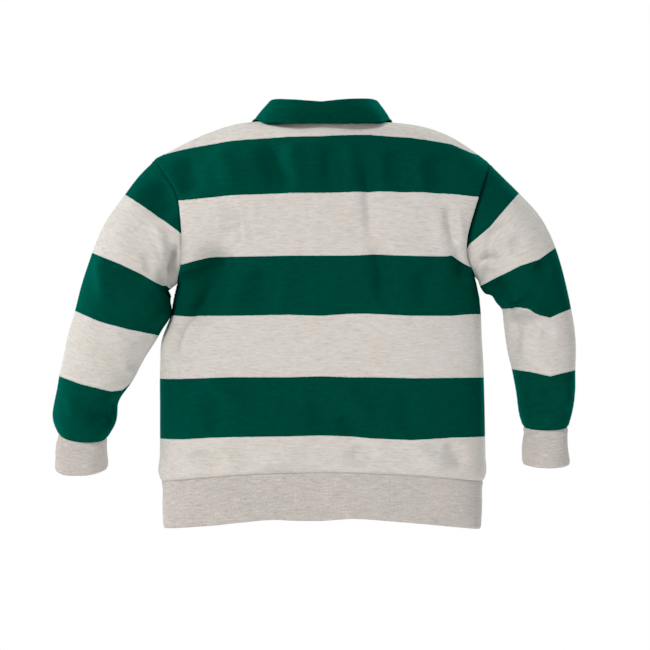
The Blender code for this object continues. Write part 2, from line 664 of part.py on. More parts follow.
def build_wall(piece):
    """Turn a piece's grid into a closed wall and add it to the scene."""
    work = bmesh.new()
    inner_points = piece.points - piece.normals * piece.wall
    outer, inner = {}, {}
    uses = {}
    for row, col in piece.cloth_cells():
        ring = piece.corners(row, col)
        for at in ring:
            if at not in outer:
                outer[at] = work.verts.new(piece.points[at])
                inner[at] = work.verts.new(inner_points[at])
        work.faces.new([outer[at] for at in ring])
        work.faces.new([inner[at] for at in reversed(ring)])
        for here, there in zip(ring, ring[1:] + ring[:1]):
            edge = tuple(sorted((here, there)))
            uses.setdefault(edge, []).append((here, there))
    for runs in uses.values():
        if len(runs) == 1:
            here, there = runs[0]
            work.faces.new([outer[there], outer[here], inner[here], inner[there]])
    bmesh.ops.triangulate(work, faces=work.faces)
    look = material(piece.name, piece.colour, CLOTH_ROUGHNESS)
    return add_object(piece.name, work, look)


def make_placket(front):
    """The under strip in the slit of the front, and the top strip over it."""
    first = len(SIDE_ROWS) - 1 + PLACKET_FIRST_ROW
    under = front.points[first:, MIDDLE - 1:MIDDLE + 2].copy()
    strip = front.points[first - 1:, MIDDLE - 2:MIDDLE + 3].copy()
    ways = front.normals[first - 1:, MIDDLE - 2:MIDDLE + 3]
    for side, step in ((1, 0), (3, 4)):
        strip[:, side] += (strip[:, step] - strip[:, side]) * PLACKET_OVERLAP
    strip[0] = strip[1] + (strip[0] - strip[1]) * PLACKET_FOOT
    strip[-1] = strip[-1] + (strip[-2] - strip[-1]) * PLACKET_HEAD
    lift = SEAM_GAP + PLACKET_WALL
    top = strip[:, 1:4] + ways[:, 1:4] * lift
    return (Piece("placket_under", under, JERSEY_WALL, GREEN, flip=True, side="body"),
            Piece("placket_top", top, PLACKET_WALL, GREEN, flip=True))


def make_buttons(placket):
    """Flat buttons with a raised rim, spaced evenly down the top strip."""
    middle = placket.points[:, 1]
    reach = np.concatenate(([0.0], np.cumsum(np.linalg.norm(np.diff(middle, axis=0), axis=1))))
    look = material("button", BUTTON_WHITE, BUTTON_ROUGHNESS)
    for number in range(BUTTON_COUNT):
        along_strip = reach[-1] * (FIRST_BUTTON - BUTTON_STEP * number)
        spot = [np.interp(along_strip, reach, middle[:, axis]) for axis in range(3)]
        way = [np.interp(along_strip, reach, placket.normals[:, 1, axis]) for axis in range(3)]
        way = Vector(way).normalized()
        work = bmesh.new()
        line = [work.verts.new((BUTTON_RADIUS * point.out, 0.0, BUTTON_HEIGHT * point.up))
                for point in BUTTON_PROFILE]
        edges = [work.edges.new(pair) for pair in zip(line, line[1:])]
        bmesh.ops.spin(work, geom=line + edges, cent=(0, 0, 0), axis=(0, 0, 1),
                       angle=2 * math.pi, steps=BUTTON_SIDES, use_merge=True)
        bmesh.ops.remove_doubles(work, verts=work.verts, dist=1e-6)
        turn = way.to_track_quat("Z", "Y").to_matrix().to_4x4()
        turn.translation = Vector(spot) + way * SEAM_GAP * 2.0
        bmesh.ops.transform(work, matrix=turn, verts=work.verts)
        add_object("button_%d" % (number + 1), work, look)


def neck_seam(back, front):
    """Points of the neck seam from the front edge on the left round to the one on the right."""
    lead = list(range(MIDDLE - 1, SHOULDER_CELLS - 1, -1))
    tail = list(range(PANEL_CELLS - SHOULDER_CELLS, MIDDLE, -1))
    middle = front[-1, MIDDLE]
    left_end = middle + (front[-1, MIDDLE - 1] - middle) * COLLAR_END
    right_end = middle + (front[-1, MIDDLE + 1] - middle) * COLLAR_END
    around = [back[-1, col] for col in range(SHOULDER_CELLS, PANEL_CELLS - SHOULDER_CELLS + 1)]
    line = np.array([left_end] + [front[-1, col] for col in lead][:-1] + around
                    + [front[-1, col] for col in tail][1:] + [right_end])
    steps = np.linalg.norm(np.diff(line, axis=0), axis=1)
    reach = np.concatenate(([0.0], np.cumsum(steps)))
    return line, 1.0 - 2.0 * reach / reach[-1]


def make_shirt():
    """Cut, sew and add every piece."""
    for thing in list(bpy.data.objects):
        bpy.data.objects.remove(thing)

    back_grid = add_folds(body_panel("back"), "back", False)
    front_grid = add_folds(body_panel("front"), "front", True)
    front_cells = np.ones((front_grid.shape[0] - 1, PANEL_CELLS), dtype=bool)
    slit = len(SIDE_ROWS) - 1 + PLACKET_FIRST_ROW
    front_cells[slit:, MIDDLE - 1:MIDDLE + 1] = False
    back = Piece("back", back_grid, JERSEY_WALL, GREEN, side="body")
    front = Piece("front", front_grid, JERSEY_WALL, GREEN, flip=True, cells=front_cells,
                  side="body")
    under, top = make_placket(front)

    seam = np.concatenate((back_grid[0], front_grid[0][-2:0:-1]))
    hem = Piece("hem_rib", hem_grid(seam), RIB_WALL, RIB_HEATHER, closed=True)
    tubes = []
    for hand in ("left", "right"):
        flip = hand == "right"
        tubes.append(Piece("sleeve_" + hand, sleeve_grid(hand), JERSEY_WALL, HEATHER, True, flip))
        tubes.append(Piece("cuff_" + hand, cuff_grid(hand), RIB_WALL, RIB_HEATHER, True, flip))

    seam_line, shares = neck_seam(back_grid, front_grid)
    collar_points = collar_grid(seam_line, shares)
    blockers = [outer_tree([back, front]), outer_tree([top])]
    fall = collar_points[-len(FALL_PLACES):]
    collar_points[-len(FALL_PLACES):] = lay_clear(fall, blockers, COLLAR_CLEARANCE)
    collar = Piece("collar", collar_points, COLLAR_WALL, GREEN)

    pieces = [back, front, under, hem, collar] + tubes
    sew(pieces)
    for piece in pieces + [top]:
        build_wall(piece)
    make_buttons(top)


make_shirt()
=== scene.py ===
import math
from collections import namedtuple

import bmesh
import bpy
import numpy as np
from mathutils import Matrix, Vector
from mathutils.bvhtree import BVHTree


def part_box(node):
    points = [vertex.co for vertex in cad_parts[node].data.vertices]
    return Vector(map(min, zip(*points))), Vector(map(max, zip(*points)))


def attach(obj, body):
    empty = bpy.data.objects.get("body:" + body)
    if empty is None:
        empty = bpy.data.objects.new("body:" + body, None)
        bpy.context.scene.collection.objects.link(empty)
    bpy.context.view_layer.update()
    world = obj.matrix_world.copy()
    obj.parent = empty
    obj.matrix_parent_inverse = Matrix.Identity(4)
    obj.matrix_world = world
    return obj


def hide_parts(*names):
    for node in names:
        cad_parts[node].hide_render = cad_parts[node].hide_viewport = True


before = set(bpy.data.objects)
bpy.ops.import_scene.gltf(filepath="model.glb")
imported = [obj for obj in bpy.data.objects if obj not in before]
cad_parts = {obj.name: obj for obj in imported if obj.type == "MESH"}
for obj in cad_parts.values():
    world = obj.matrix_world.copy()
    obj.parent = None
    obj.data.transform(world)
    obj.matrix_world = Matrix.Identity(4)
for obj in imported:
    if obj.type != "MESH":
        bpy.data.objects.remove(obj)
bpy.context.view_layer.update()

# Studio. The shirt is seen from behind, level and from far off, in front of plain white. A soft
# key box high on one side and a large weak fill on the other light each face, and one more box
# lights the wearer's left side. A pale floor lies far below the edge of the picture.
CAMERA_PLACE = (-0.00375, 2.7, -0.25125)
CAMERA_LENS = 119.6
FLOOR_HEIGHT = -2.20
FLOOR_RADIUS = 3.0
WHITE = (1.0, 1.0, 1.0, 1.0)
BACKDROP_SEEN = 1.0
BACKDROP_LIGHT = 0.24
BOX_AIM = (0.0, 0.0, -0.22)
SoftBox = namedtuple("SoftBox", "name place size power")
SOFT_BOXES = (
    SoftBox("back_key", (3.05, 4.30, 3.40), 1.5, 312.0),
    SoftBox("back_fill", (-3.80, 4.50, -0.20), 3.0, 110.0),
    SoftBox("side_box", (5.20, -1.00, 1.90), 1.6, 160.0),
    SoftBox("front_key", (-3.05, -4.30, 3.40), 1.5, 312.0),
    SoftBox("front_fill", (3.80, -4.50, -0.20), 3.0, 110.0),
)


def add_object(name, data):
    """Link new data into the scene as an object at the origin."""
    made = bpy.data.objects.new(name, data)
    bpy.context.collection.objects.link(made)
    return made


def add_mesh(name, work, material=None, smooth=True):
    """Turn a bmesh into an object of the scene."""
    for face in work.faces:
        face.smooth = smooth
    mesh = bpy.data.meshes.new(name)
    work.to_mesh(mesh)
    work.free()
    if material is not None:
        mesh.materials.append(material)
    return add_object(name, mesh)


lens = bpy.data.cameras.new("camera")
lens.lens = CAMERA_LENS
lens.sensor_width = 36.0
camera = add_object("camera", lens)
camera.location = CAMERA_PLACE
camera.rotation_euler = (math.radians(90.0), 0.0, math.radians(180.0))
bpy.context.scene.camera = camera

for box in SOFT_BOXES:
    lamp = bpy.data.lights.new(box.name, "AREA")
    lamp.size = box.size
    lamp.energy = box.power
    lit = add_object(box.name, lamp)
    lit.location = box.place
    lit.rotation_euler = (Vector(BOX_AIM) - Vector(box.place)).to_track_quat("-Z", "Y").to_euler()

world = bpy.data.worlds.new("studio")
bpy.context.scene.world = world
world.use_nodes = True
sky = world.node_tree
sky.nodes.clear()
ray = sky.nodes.new("ShaderNodeLightPath")
choice = sky.nodes.new("ShaderNodeMixShader")
sky_end = sky.nodes.new("ShaderNodeOutputWorld")
sky.links.new(ray.outputs["Is Camera Ray"], choice.inputs[0])
sky.links.new(choice.outputs[0], sky_end.inputs["Surface"])
for index, strength in ((1, BACKDROP_LIGHT), (2, BACKDROP_SEEN)):
    glow = sky.nodes.new("ShaderNodeBackground")
    glow.inputs["Color"].default_value = WHITE
    glow.inputs["Strength"].default_value = strength
    sky.links.new(glow.outputs[0], choice.inputs[index])

# The picture's tones: deeper shadows and crisper dark colours, light ones kept soft
ToneStep = namedtuple("ToneStep", "light shown")
TONES = (
    ToneStep(0.012, 0.0055),
    ToneStep(0.025, 0.0170),
    ToneStep(0.048, 0.0480),
    ToneStep(0.075, 0.0980),
    ToneStep(0.130, 0.1820),
    ToneStep(0.250, 0.2900),
    ToneStep(0.450, 0.4550),
    ToneStep(0.620, 0.6100),
)
view = bpy.context.scene.view_settings
view.view_transform = "Standard"
view.use_curve_mapping = True
curve = view.curve_mapping.curves[3]
for step in TONES:
    curve.points.new(step.light, step.shown)
view.curve_mapping.update()

floor_work = bmesh.new()
bmesh.ops.create_circle(floor_work, cap_ends=True, segments=96, radius=FLOOR_RADIUS,
                        matrix=Matrix.Translation((0.0, 0.0, FLOOR_HEIGHT)))
floor_paper = bpy.data.materials.new("floor_paper")
floor_paper.use_nodes = True
paper = floor_paper.node_tree.nodes["Principled BSDF"]
for name, value in (("Base Color", (0.80, 0.80, 0.80, 1.0)), ("Roughness", 0.9),
                    ("Emission Color", WHITE), ("Emission Strength", 0.55)):
    paper.inputs[name].default_value = value
add_mesh("floor", floor_work, floor_paper, smooth=False)

# Back and front panels. Heavy brushed cotton jersey, knitted in broad green and oatmeal
# stripes and cut with a curved armhole and neckline; the two are sewn together at the sides
# and over the shoulders, and turned so that each seam lies in a shallow groove.
JERSEY = 0.0020
SQUARENESS = 2.6
SHOULDER_ROUNDNESS = 2.2
NECK_ROUNDNESS = {"back": 3.6, "front": 2.3}
NECK_ROUND_REACH = 0.15
FULLNESS = {"back": 0.006, "front": 0.004}
Level = namedtuple("Level", "share left_x left_z right_x right_z middle_z back front")
BODY_LEVELS = (
    Level(0.00, 0.2002, -0.4455, 0.2010, -0.4450, -0.4310, 0.0720, 0.0730),
    Level(0.03, 0.2032, -0.4380, 0.2040, -0.4375, -0.4250, 0.0765, 0.0775),
    Level(0.12, 0.2022, -0.4150, 0.2038, -0.4150, -0.4040, 0.0755, 0.0780),
    Level(0.35, 0.2018, -0.3600, 0.2028, -0.3590, -0.3510, 0.0720, 0.0790),
    Level(0.60, 0.2016, -0.3000, 0.2010, -0.2970, -0.2930, 0.0705, 0.0800),
    Level(0.72, 0.2000, -0.2710, 0.1990, -0.2660, -0.2640, 0.0710, 0.0805),
    Level(0.85, 0.1885, -0.2380, 0.1975, -0.2310, -0.2310, 0.0730, 0.0810),
    Level(0.93, 0.1855, -0.2180, 0.1950, -0.2090, -0.2110, 0.0745, 0.0810),
    Level(1.00, 0.1806, -0.1988, 0.1900, -0.1888, -0.1930, 0.0760, 0.0810),
)
ArmholeRow = namedtuple("ArmholeRow", "share left_x right_x")
ARMHOLE = (
    ArmholeRow(0.00, 0.1806, 0.1900),
    ArmholeRow(0.15, 0.1742, 0.1790),
    ArmholeRow(0.30, 0.1722, 0.1782),
    ArmholeRow(0.50, 0.1736, 0.1850),
    ArmholeRow(0.70, 0.1790, 0.1940),
    ArmholeRow(0.85, 0.1925, 0.2012),
    ArmholeRow(1.00, 0.2087, 0.2087),
)
ARMHOLE_DEPTH = {"back": 0.050, "front": 0.049}
ARMHOLE_REACH = 0.085
ARMHOLE_PULL = 0.055
ARMHOLE_EASE = 0.5
ShoulderRow = namedtuple("ShoulderRow", "x left_z right_z")
SHOULDER = (
    ShoulderRow(0.2087, -0.0438, -0.0492),
    ShoulderRow(0.1900, -0.0346, -0.0350),
    ShoulderRow(0.1600, -0.0195, -0.0162),
    ShoulderRow(0.1300, -0.0078, -0.0048),
    ShoulderRow(0.1025, -0.0002, 0.0002),
    ShoulderRow(0.0720, 0.0028, 0.0033),
    ShoulderRow(0.0000, 0.0110, 0.0110),
)
SHOULDER_SEAM_Y = -0.002
NECK_HALF = 0.072
NECK_BACK_Y = 0.046
NECK_FRONT_DROP = 0.056
NECK_FRONT_CURVE = 1.6
SLIT_HALF = 0.014
SLIT_TURN = 3.0 / 11.0

# How finely the cloth is laid out, in cells
SHOULDER_COLUMNS = 46
NECK_COLUMNS = 32
SLIT_COLUMNS = 5
HALF_COLUMNS = SHOULDER_COLUMNS + NECK_COLUMNS
MIDDLE = HALF_COLUMNS + SLIT_COLUMNS
SIDE_ROWS = 92
SIDE_LENGTH = 0.252
ARMHOLE_ROWS = 66
UNDERARM = slice(SIDE_ROWS - 9, SIDE_ROWS + 12)
EDGE_STEPS = (0.0, 0.0011, 0.0022, 0.0034, 0.0048, 0.0066)

# Heights where the stripes change, across the back from the left side to the right one
STRIPE_DEPTH = 0.0745
NEXT_STRIPE = 0.075
StripeRow = namedtuple("StripeRow", "x first second third fourth fifth sixth")
BODY_STRIPES = (
    StripeRow(0.2050, -0.0400, -0.0994, -0.1777, -0.2385, -0.3180, -0.3925),
    StripeRow(0.1710, -0.0345, -0.0984, -0.1767, -0.2390, -0.3173, -0.3918),
    StripeRow(0.1400, -0.0295, -0.0960, -0.1706, -0.2402, -0.3160, -0.3894),
    StripeRow(0.1100, -0.0251, -0.0935, -0.1681, -0.2402, -0.3148, -0.3881),
    StripeRow(0.0400, -0.0202, -0.0911, -0.1669, -0.2390, -0.3148, -0.3869),
    StripeRow(0.0000, -0.0205, -0.0911, -0.1669, -0.2402, -0.3136, -0.3857),
    StripeRow(-0.0350, -0.0180, -0.0899, -0.1669, -0.2378, -0.3148, -0.3869),
    StripeRow(-0.0600, -0.0168, -0.0887, -0.1657, -0.2378, -0.3148, -0.3894),
    StripeRow(-0.1100, -0.0202, -0.0899, -0.1669, -0.2402, -0.3160, -0.3918),
    StripeRow(-0.1600, -0.0275, -0.0915, -0.1672, -0.2402, -0.3160, -0.3894),
    StripeRow(-0.1850, -0.0373, -0.0935, -0.1795, -0.2378, -0.3160, -0.3894),
    StripeRow(-0.2050, -0.0420, -0.0950, -0.1810, -0.2378, -0.3165, -0.3900),
)

# Folds of the body as seen from behind, each on a curve through three points of the cloth. A
# positive height stands out and a negative one lies in
Fold = namedtuple("Fold", "start_x start_z middle_x middle_z end_x end_z width height")
FOLD_POINTS = 3
FOLD_STEPS = 24
FOLD_TAPER = 0.35
BODY_FOLDS = {
    "back": (
        Fold(0.104, -0.098, 0.108, -0.132, 0.122, -0.164, 0.0120, -0.0083),
        Fold(0.112, -0.146, 0.142, -0.198, 0.184, -0.252, 0.0210, -0.0235),
        Fold(0.150, -0.212, 0.174, -0.250, 0.190, -0.310, 0.0130, -0.0091),
        Fold(0.103, -0.094, 0.098, -0.124, 0.090, -0.156, 0.0060, 0.0048),
        Fold(0.092, -0.152, 0.130, -0.200, 0.162, -0.242, 0.0070, 0.0040),
        Fold(0.152, -0.226, 0.168, -0.258, 0.182, -0.296, 0.0065, 0.0056),
        Fold(0.164, -0.034, 0.166, -0.066, 0.160, -0.100, 0.0150, -0.0098),
        Fold(0.130, -0.028, 0.118, -0.056, 0.098, -0.092, 0.0130, 0.0058),
        Fold(0.070, -0.024, 0.062, -0.058, 0.046, -0.096, 0.0120, -0.0119),
        Fold(0.040, -0.024, 0.034, -0.056, 0.018, -0.096, 0.0120, 0.0074),
        Fold(-0.010, -0.024, -0.010, -0.056, -0.014, -0.094, 0.0120, -0.0086),
        Fold(-0.034, -0.020, -0.034, -0.056, -0.036, -0.090, 0.0110, 0.0056),
        Fold(-0.054, -0.040, -0.058, -0.100, -0.062, -0.160, 0.0085, -0.0079),
        Fold(-0.062, -0.140, -0.073, -0.185, -0.076, -0.235, 0.0110, -0.0095),
        Fold(-0.070, -0.026, -0.070, -0.058, -0.068, -0.090, 0.0100, 0.0056),
        Fold(-0.092, -0.030, -0.095, -0.056, -0.100, -0.116, 0.0130, -0.0047),
        Fold(-0.116, -0.040, -0.118, -0.064, -0.124, -0.100, 0.0100, 0.0047),
        Fold(-0.140, -0.034, -0.146, -0.062, -0.154, -0.092, 0.0180, -0.0086),
        Fold(-0.153, -0.100, -0.158, -0.130, -0.168, -0.172, 0.0062, -0.0056),
        Fold(-0.166, -0.104, -0.169, -0.130, -0.175, -0.158, 0.0060, 0.0018),
        Fold(-0.158, -0.156, -0.170, -0.178, -0.182, -0.202, 0.0090, -0.0100),
        Fold(-0.138, -0.100, -0.143, -0.134, -0.150, -0.170, 0.0090, 0.0026),
        Fold(-0.120, -0.178, -0.126, -0.205, -0.132, -0.236, 0.0140, -0.0052),
        Fold(0.078, -0.180, 0.078, -0.208, 0.088, -0.244, 0.0160, -0.0088),
        Fold(0.052, -0.176, 0.046, -0.206, 0.050, -0.240, 0.0140, 0.0040),
        Fold(0.130, -0.330, 0.132, -0.358, 0.122, -0.392, 0.0130, -0.0050),
        Fold(0.156, -0.310, 0.126, -0.326, 0.088, -0.360, 0.0130, 0.0067),
        Fold(0.016, -0.340, 0.004, -0.364, -0.006, -0.392, 0.0120, -0.0064),
        Fold(-0.010, -0.322, -0.040, -0.342, -0.060, -0.372, 0.0140, 0.0063),
        Fold(-0.018, -0.362, -0.030, -0.376, -0.048, -0.388, 0.0090, -0.0067),
        Fold(-0.098, -0.332, -0.104, -0.358, -0.110, -0.390, 0.0120, -0.0046),
        Fold(0.160, -0.402, 0.142, -0.419, 0.112, -0.430, 0.0120, -0.0077),
        Fold(0.020, -0.396, 0.048, -0.413, 0.088, -0.424, 0.0110, 0.0063),
        Fold(0.120, -0.400, 0.098, -0.412, 0.080, -0.428, 0.0090, -0.0047),
        Fold(-0.032, -0.398, -0.048, -0.414, -0.066, -0.426, 0.0110, -0.0077),
        Fold(-0.110, -0.398, -0.130, -0.414, -0.160, -0.428, 0.0110, 0.0058),
        Fold(-0.150, -0.392, -0.166, -0.410, -0.176, -0.430, 0.0090, -0.0052),
    ),
    "front": (
        Fold(0.156, -0.050, 0.158, -0.090, 0.164, -0.140, 0.0120, -0.0092),
        Fold(0.104, -0.118, 0.126, -0.160, 0.156, -0.205, 0.0130, 0.0108),
        Fold(0.136, -0.150, 0.152, -0.176, 0.176, -0.206, 0.0120, -0.0124),
        Fold(0.064, -0.205, 0.100, -0.236, 0.150, -0.262, 0.0150, -0.0062),
        Fold(0.050, -0.240, 0.090, -0.276, 0.140, -0.310, 0.0150, 0.0046),
        Fold(0.110, -0.330, 0.104, -0.360, 0.096, -0.400, 0.0140, -0.0046),
        Fold(-0.150, -0.055, -0.156, -0.100, -0.164, -0.150, 0.0110, -0.0086),
        Fold(-0.100, -0.126, -0.124, -0.165, -0.156, -0.200, 0.0130, 0.0095),
        Fold(-0.134, -0.160, -0.154, -0.184, -0.180, -0.206, 0.0100, -0.0115),
        Fold(-0.044, -0.258, -0.090, -0.286, -0.136, -0.306, 0.0150, -0.0058),
        Fold(-0.060, -0.352, -0.072, -0.380, -0.076, -0.412, 0.0140, 0.0042),
        Fold(-0.140, -0.340, -0.132, -0.372, -0.130, -0.406, 0.0120, -0.0046),
        Fold(0.020, -0.330, 0.012, -0.366, 0.016, -0.404, 0.0150, -0.0038),
        Fold(0.044, -0.060, 0.052, -0.100, 0.050, -0.146, 0.0120, -0.0034),
        Fold(-0.048, -0.070, -0.054, -0.112, -0.050, -0.150, 0.0120, 0.0030),
    ),
}


def through(keys, values, at):
    """Read a smooth curve through a table's values."""
    keys = np.asarray(keys, dtype=float)
    values = np.asarray(values, dtype=float)
    slopes = np.gradient(values, keys)
    at = np.clip(at, keys[0], keys[-1])
    low = np.clip(np.searchsorted(keys, at, side="right") - 1, 0, len(keys) - 2)
    span = keys[low + 1] - keys[low]
    t = (at - keys[low]) / span
    return (values[low] * (2 * t ** 3 - 3 * t ** 2 + 1)
            + slopes[low] * span * (t ** 3 - 2 * t ** 2 + t)
            + values[low + 1] * (3 * t ** 2 - 2 * t ** 3)
            + slopes[low + 1] * span * (t ** 3 - t ** 2))


def column(table, name):
    """One named column of a table."""
    return [getattr(row, name) for row in table]


def read(table, name, share):
    """A table's column at a share of the way along it."""
    return through(column(table, "share"), column(table, name), share)


def row_at(table, share):
    """A whole row of a table at a share of the way along it."""
    return type(table[0])(*(read(table, name, share) for name in table[0]._fields))


def ease(t):
    """Ease from 0 to 1."""
    t = np.clip(t, 0.0, 1.0)
    return t * t * (3.0 - 2.0 * t)


def run_along(points, axis=0):
    """Length from the start to each point of a line, or of every line of a grid."""
    steps = np.linalg.norm(np.diff(points, axis=axis), axis=-1)
    return np.concatenate((np.zeros_like(np.take(steps, [0], axis)), np.cumsum(steps, axis)), axis)


def along(line, shares):
    """Points at shares of a polyline's length."""
    reach = run_along(line)
    return np.stack([np.interp(shares, reach / reach[-1], line[:, axis]) for axis in range(3)], axis=1)


def line_length(line):
    """Length of a polyline."""
    return float(run_along(line)[-1])


def shares_from_edge(count, end, span):
    """Shares from 0 to an end, with the first cells narrow enough for a seam's groove."""
    near = np.array(EDGE_STEPS) / span
    return np.concatenate((near[:-1], np.linspace(near[-1], end, count + 2 - len(near))))


def body_ring(side, share, count=401):
    """Half of the body's outline at one height, from the left seam round to the right one."""
    turn = np.linspace(0.0, math.pi, count)
    across, out = np.cos(turn), np.sin(turn)
    left = across >= 0.0
    power = 2.0 / SQUARENESS
    level = row_at(BODY_LEVELS, share)
    wide = np.where(left, level.left_x, level.right_x)
    edge = np.where(left, level.left_z, level.right_z)
    x = wide * np.sign(across) * np.abs(across) ** power
    depth = getattr(level, side) * np.abs(out) ** power
    z = level.middle_z + (edge - level.middle_z) * (x / wide) ** 2
    return np.stack([x, depth if side == "back" else -depth, z], axis=1)


def ridge_z(x):
    """Height of the shoulders' ridge across the body."""
    keys = [-row.x for row in SHOULDER]
    left = through(keys, column(SHOULDER, "left_z"), -np.abs(x))
    right = through(keys, column(SHOULDER, "right_z"), -np.abs(x))
    return np.where(np.asarray(x) >= 0.0, left, right)


def roundness(side, x):
    """How squarely the body rolls over the shoulders, fuller towards the neck."""
    near = ease(1.0 - np.abs(x) / NECK_ROUND_REACH)
    return SHOULDER_ROUNDNESS + (NECK_ROUNDNESS[side] - SHOULDER_ROUNDNESS) * near


def roll(side, x, rise):
    """Share of the body's depth left at a share of the way up to the ridge."""
    power = roundness(side, x)
    return np.clip(1.0 - np.clip(rise, 0.0, 1.0) ** power, 0.0, 1.0) ** (1.0 / power)


def neckline(side, turn):
    """Neck seam of one panel, from the left shoulder seam round to the right one."""
    x = NECK_HALF * np.cos(turn)
    ridge = ridge_z(x)
    base = read(BODY_LEVELS, "middle_z", 1.0)
    sign = 1.0 if side == "back" else -1.0
    deep = read(BODY_LEVELS, side, 1.0) - sign * SHOULDER_SEAM_Y
    if side == "back":
        y = SHOULDER_SEAM_Y + (NECK_BACK_Y - SHOULDER_SEAM_Y) * np.sin(turn)
        left = (y - SHOULDER_SEAM_Y) / deep
        power = roundness(side, x)
        z = base + (ridge - base) * (1.0 - left ** power) ** (1.0 / power)
    else:
        z = ridge - (NECK_FRONT_DROP + ridge - ridge_z(NECK_HALF)) * np.sin(turn) ** NECK_FRONT_CURVE
        y = SHOULDER_SEAM_Y - deep * roll(side, x, (z - base) / (ridge - base))
    return np.stack([x, y, z], axis=1)


def half_and_half(half, middle):
    """Shares of a whole row from those of its left half and of the slit's half width."""
    slit = np.linspace(0.5 - middle, 0.5 + middle, 2 * SLIT_COLUMNS + 1)
    return np.concatenate((half[:-1], slit, (1.0 - half)[::-1][1:]))


def panel_top(side, count=241):
    """Points of a panel's upper edge, one for each column: shoulder, neckline, shoulder."""
    xs = np.linspace(SHOULDER[0].x, NECK_HALF, count)
    left = np.stack([xs, np.full(count, SHOULDER_SEAM_Y), ridge_z(xs)], axis=1)
    right = np.stack([-xs, np.full(count, SHOULDER_SEAM_Y), ridge_z(-xs)], axis=1)[::-1]
    neck = neckline(side, np.linspace(0.0, math.pi, 2 * count + 1))
    middle = SLIT_HALF / line_length(neck)
    neck_shares = half_and_half(np.linspace(0.0, 0.5 - middle, NECK_COLUMNS + 1), middle)
    shoulder_shares = shares_from_edge(SHOULDER_COLUMNS, 1.0, line_length(left))
    return np.concatenate((
        along(left, shoulder_shares)[:-1],
        along(neck, neck_shares),
        along(right, 1.0 - shoulder_shares[::-1])[1:],
    ))


def panel_row(side, share):
    """Points of one row of a panel below the underarm, one for each column."""
    ring = body_ring(side, share)
    span = line_length(ring)
    middle = SLIT_HALF / span
    return along(ring, half_and_half(shares_from_edge(HALF_COLUMNS, 0.5 - middle, span), middle))


def sleeve_head(hand):
    """Heights of an armhole seam's ends: the shoulder tip and the underarm."""
    tip, last = SHOULDER[0], BODY_LEVELS[-1]
    return getattr(tip, hand + "_z"), getattr(last, hand + "_z")


def armhole_edge(side, hand, turn):
    """Armhole seam of one panel, from the underarm up to the shoulder tip."""
    rise = (1.0 - np.cos(turn)) / 2.0
    tip_z, low_z = sleeve_head(hand)
    x = read(ARMHOLE, hand + "_x", rise)
    z = low_z + (tip_z - low_z) * rise
    depth = ARMHOLE_DEPTH[side] if side == "back" else -ARMHOLE_DEPTH[side]
    y = depth * np.sin(turn) + SHOULDER_SEAM_Y * rise
    return np.stack([x if hand == "left" else -x, y, z], axis=1)


def body_panel(side):
    """Grid of the front or back panel, from the hem seam to the shoulders and neckline."""
    low = shares_from_edge(SIDE_ROWS, 1.0, SIDE_LENGTH)
    lower = [panel_row(side, share) for share in low]
    base, top = lower[-1], panel_top(side)
    turns = np.linspace(0.0, math.pi, ARMHOLE_ROWS + 1)
    edges = {hand: armhole_edge(side, hand, turns) for hand in ("left", "right")}
    rises = (1.0 - np.cos(turns)) / 2.0
    sign = 1.0 if side == "back" else -1.0
    deep = read(BODY_LEVELS, side, 1.0)
    upper = []
    for row in range(1, ARMHOLE_ROWS):
        rise = rises[row]
        x = base[:, 0] + (top[:, 0] - base[:, 0]) * rise
        z = base[:, 2] + (top[:, 2] - base[:, 2]) * rise
        y = np.zeros_like(x)
        for hand, first in (("left", 0), ("right", -1)):
            edge = edges[hand][row]
            near = (x > 0.0) if hand == "left" else (x <= 0.0)
            reach = np.abs(x - x[first])
            shift = (edge[0] - x[first]) * (1.0 - ease(reach / ARMHOLE_REACH))
            x = np.where(near, x + shift, x)
            out = np.clip(np.abs(x) / abs(edge[0]), 0.0, 1.0)
            round_way = (1.0 - out ** SQUARENESS) ** (1.0 / SQUARENESS)
            ridge = ridge_z(x)
            keep = roll(side, x, (z - base[:, 2]) / (ridge - base[:, 2]))
            at_edge = (edge[1] - SHOULDER_SEAM_Y) * sign / max(float(keep[first]), 1e-6)
            eased = ARMHOLE_DEPTH[side] * ease(rise / ARMHOLE_EASE)
            near_edge = 1.0 - ease(np.abs(x - edge[0]) / ARMHOLE_PULL)
            at_edge = eased + (at_edge - eased) * near_edge
            full = deep + FULLNESS[side] * math.sin(math.pi * rise ** 1.3)
            depth = at_edge + (full - at_edge) * round_way
            y = np.where(near, SHOULDER_SEAM_Y * (1.0 - keep) + sign * depth * keep, y)
        points = np.stack([x, y, z], axis=1)
        points[0], points[-1] = edges["left"][row], edges["right"][row]
        upper.append(points)
    return np.array(lower + upper + [top])


def grid_normals(points, closed=False, flip=False):
    """Unit normals of a grid of points whose columns may close into a ring."""
    if closed:
        across = np.roll(points, -1, axis=1) - np.roll(points, 1, axis=1)
    else:
        across = np.gradient(points, axis=1)
    normals = np.cross(across, np.gradient(points, axis=0))
    normals /= np.maximum(np.linalg.norm(normals, axis=-1, keepdims=True), 1e-12)
    return -normals if flip else normals


def settle(field, closed, passes):
    """Smooth a grid of points along and across, leaving its borders."""
    for _ in range(passes):
        if closed:
            beside = (np.roll(field, 1, axis=1) + np.roll(field, -1, axis=1)) / 2.0
            inner = (beside[1:-1] + (field[2:] + field[:-2]) / 2.0) / 2.0
            field[1:-1] = (field[1:-1] + inner) / 2.0
        else:
            inner = (field[1:-1, :-2] + field[1:-1, 2:] + field[2:, 1:-1] + field[:-2, 1:-1]) / 4.0
            field[1:-1, 1:-1] = (field[1:-1, 1:-1] + inner) / 2.0
    return field


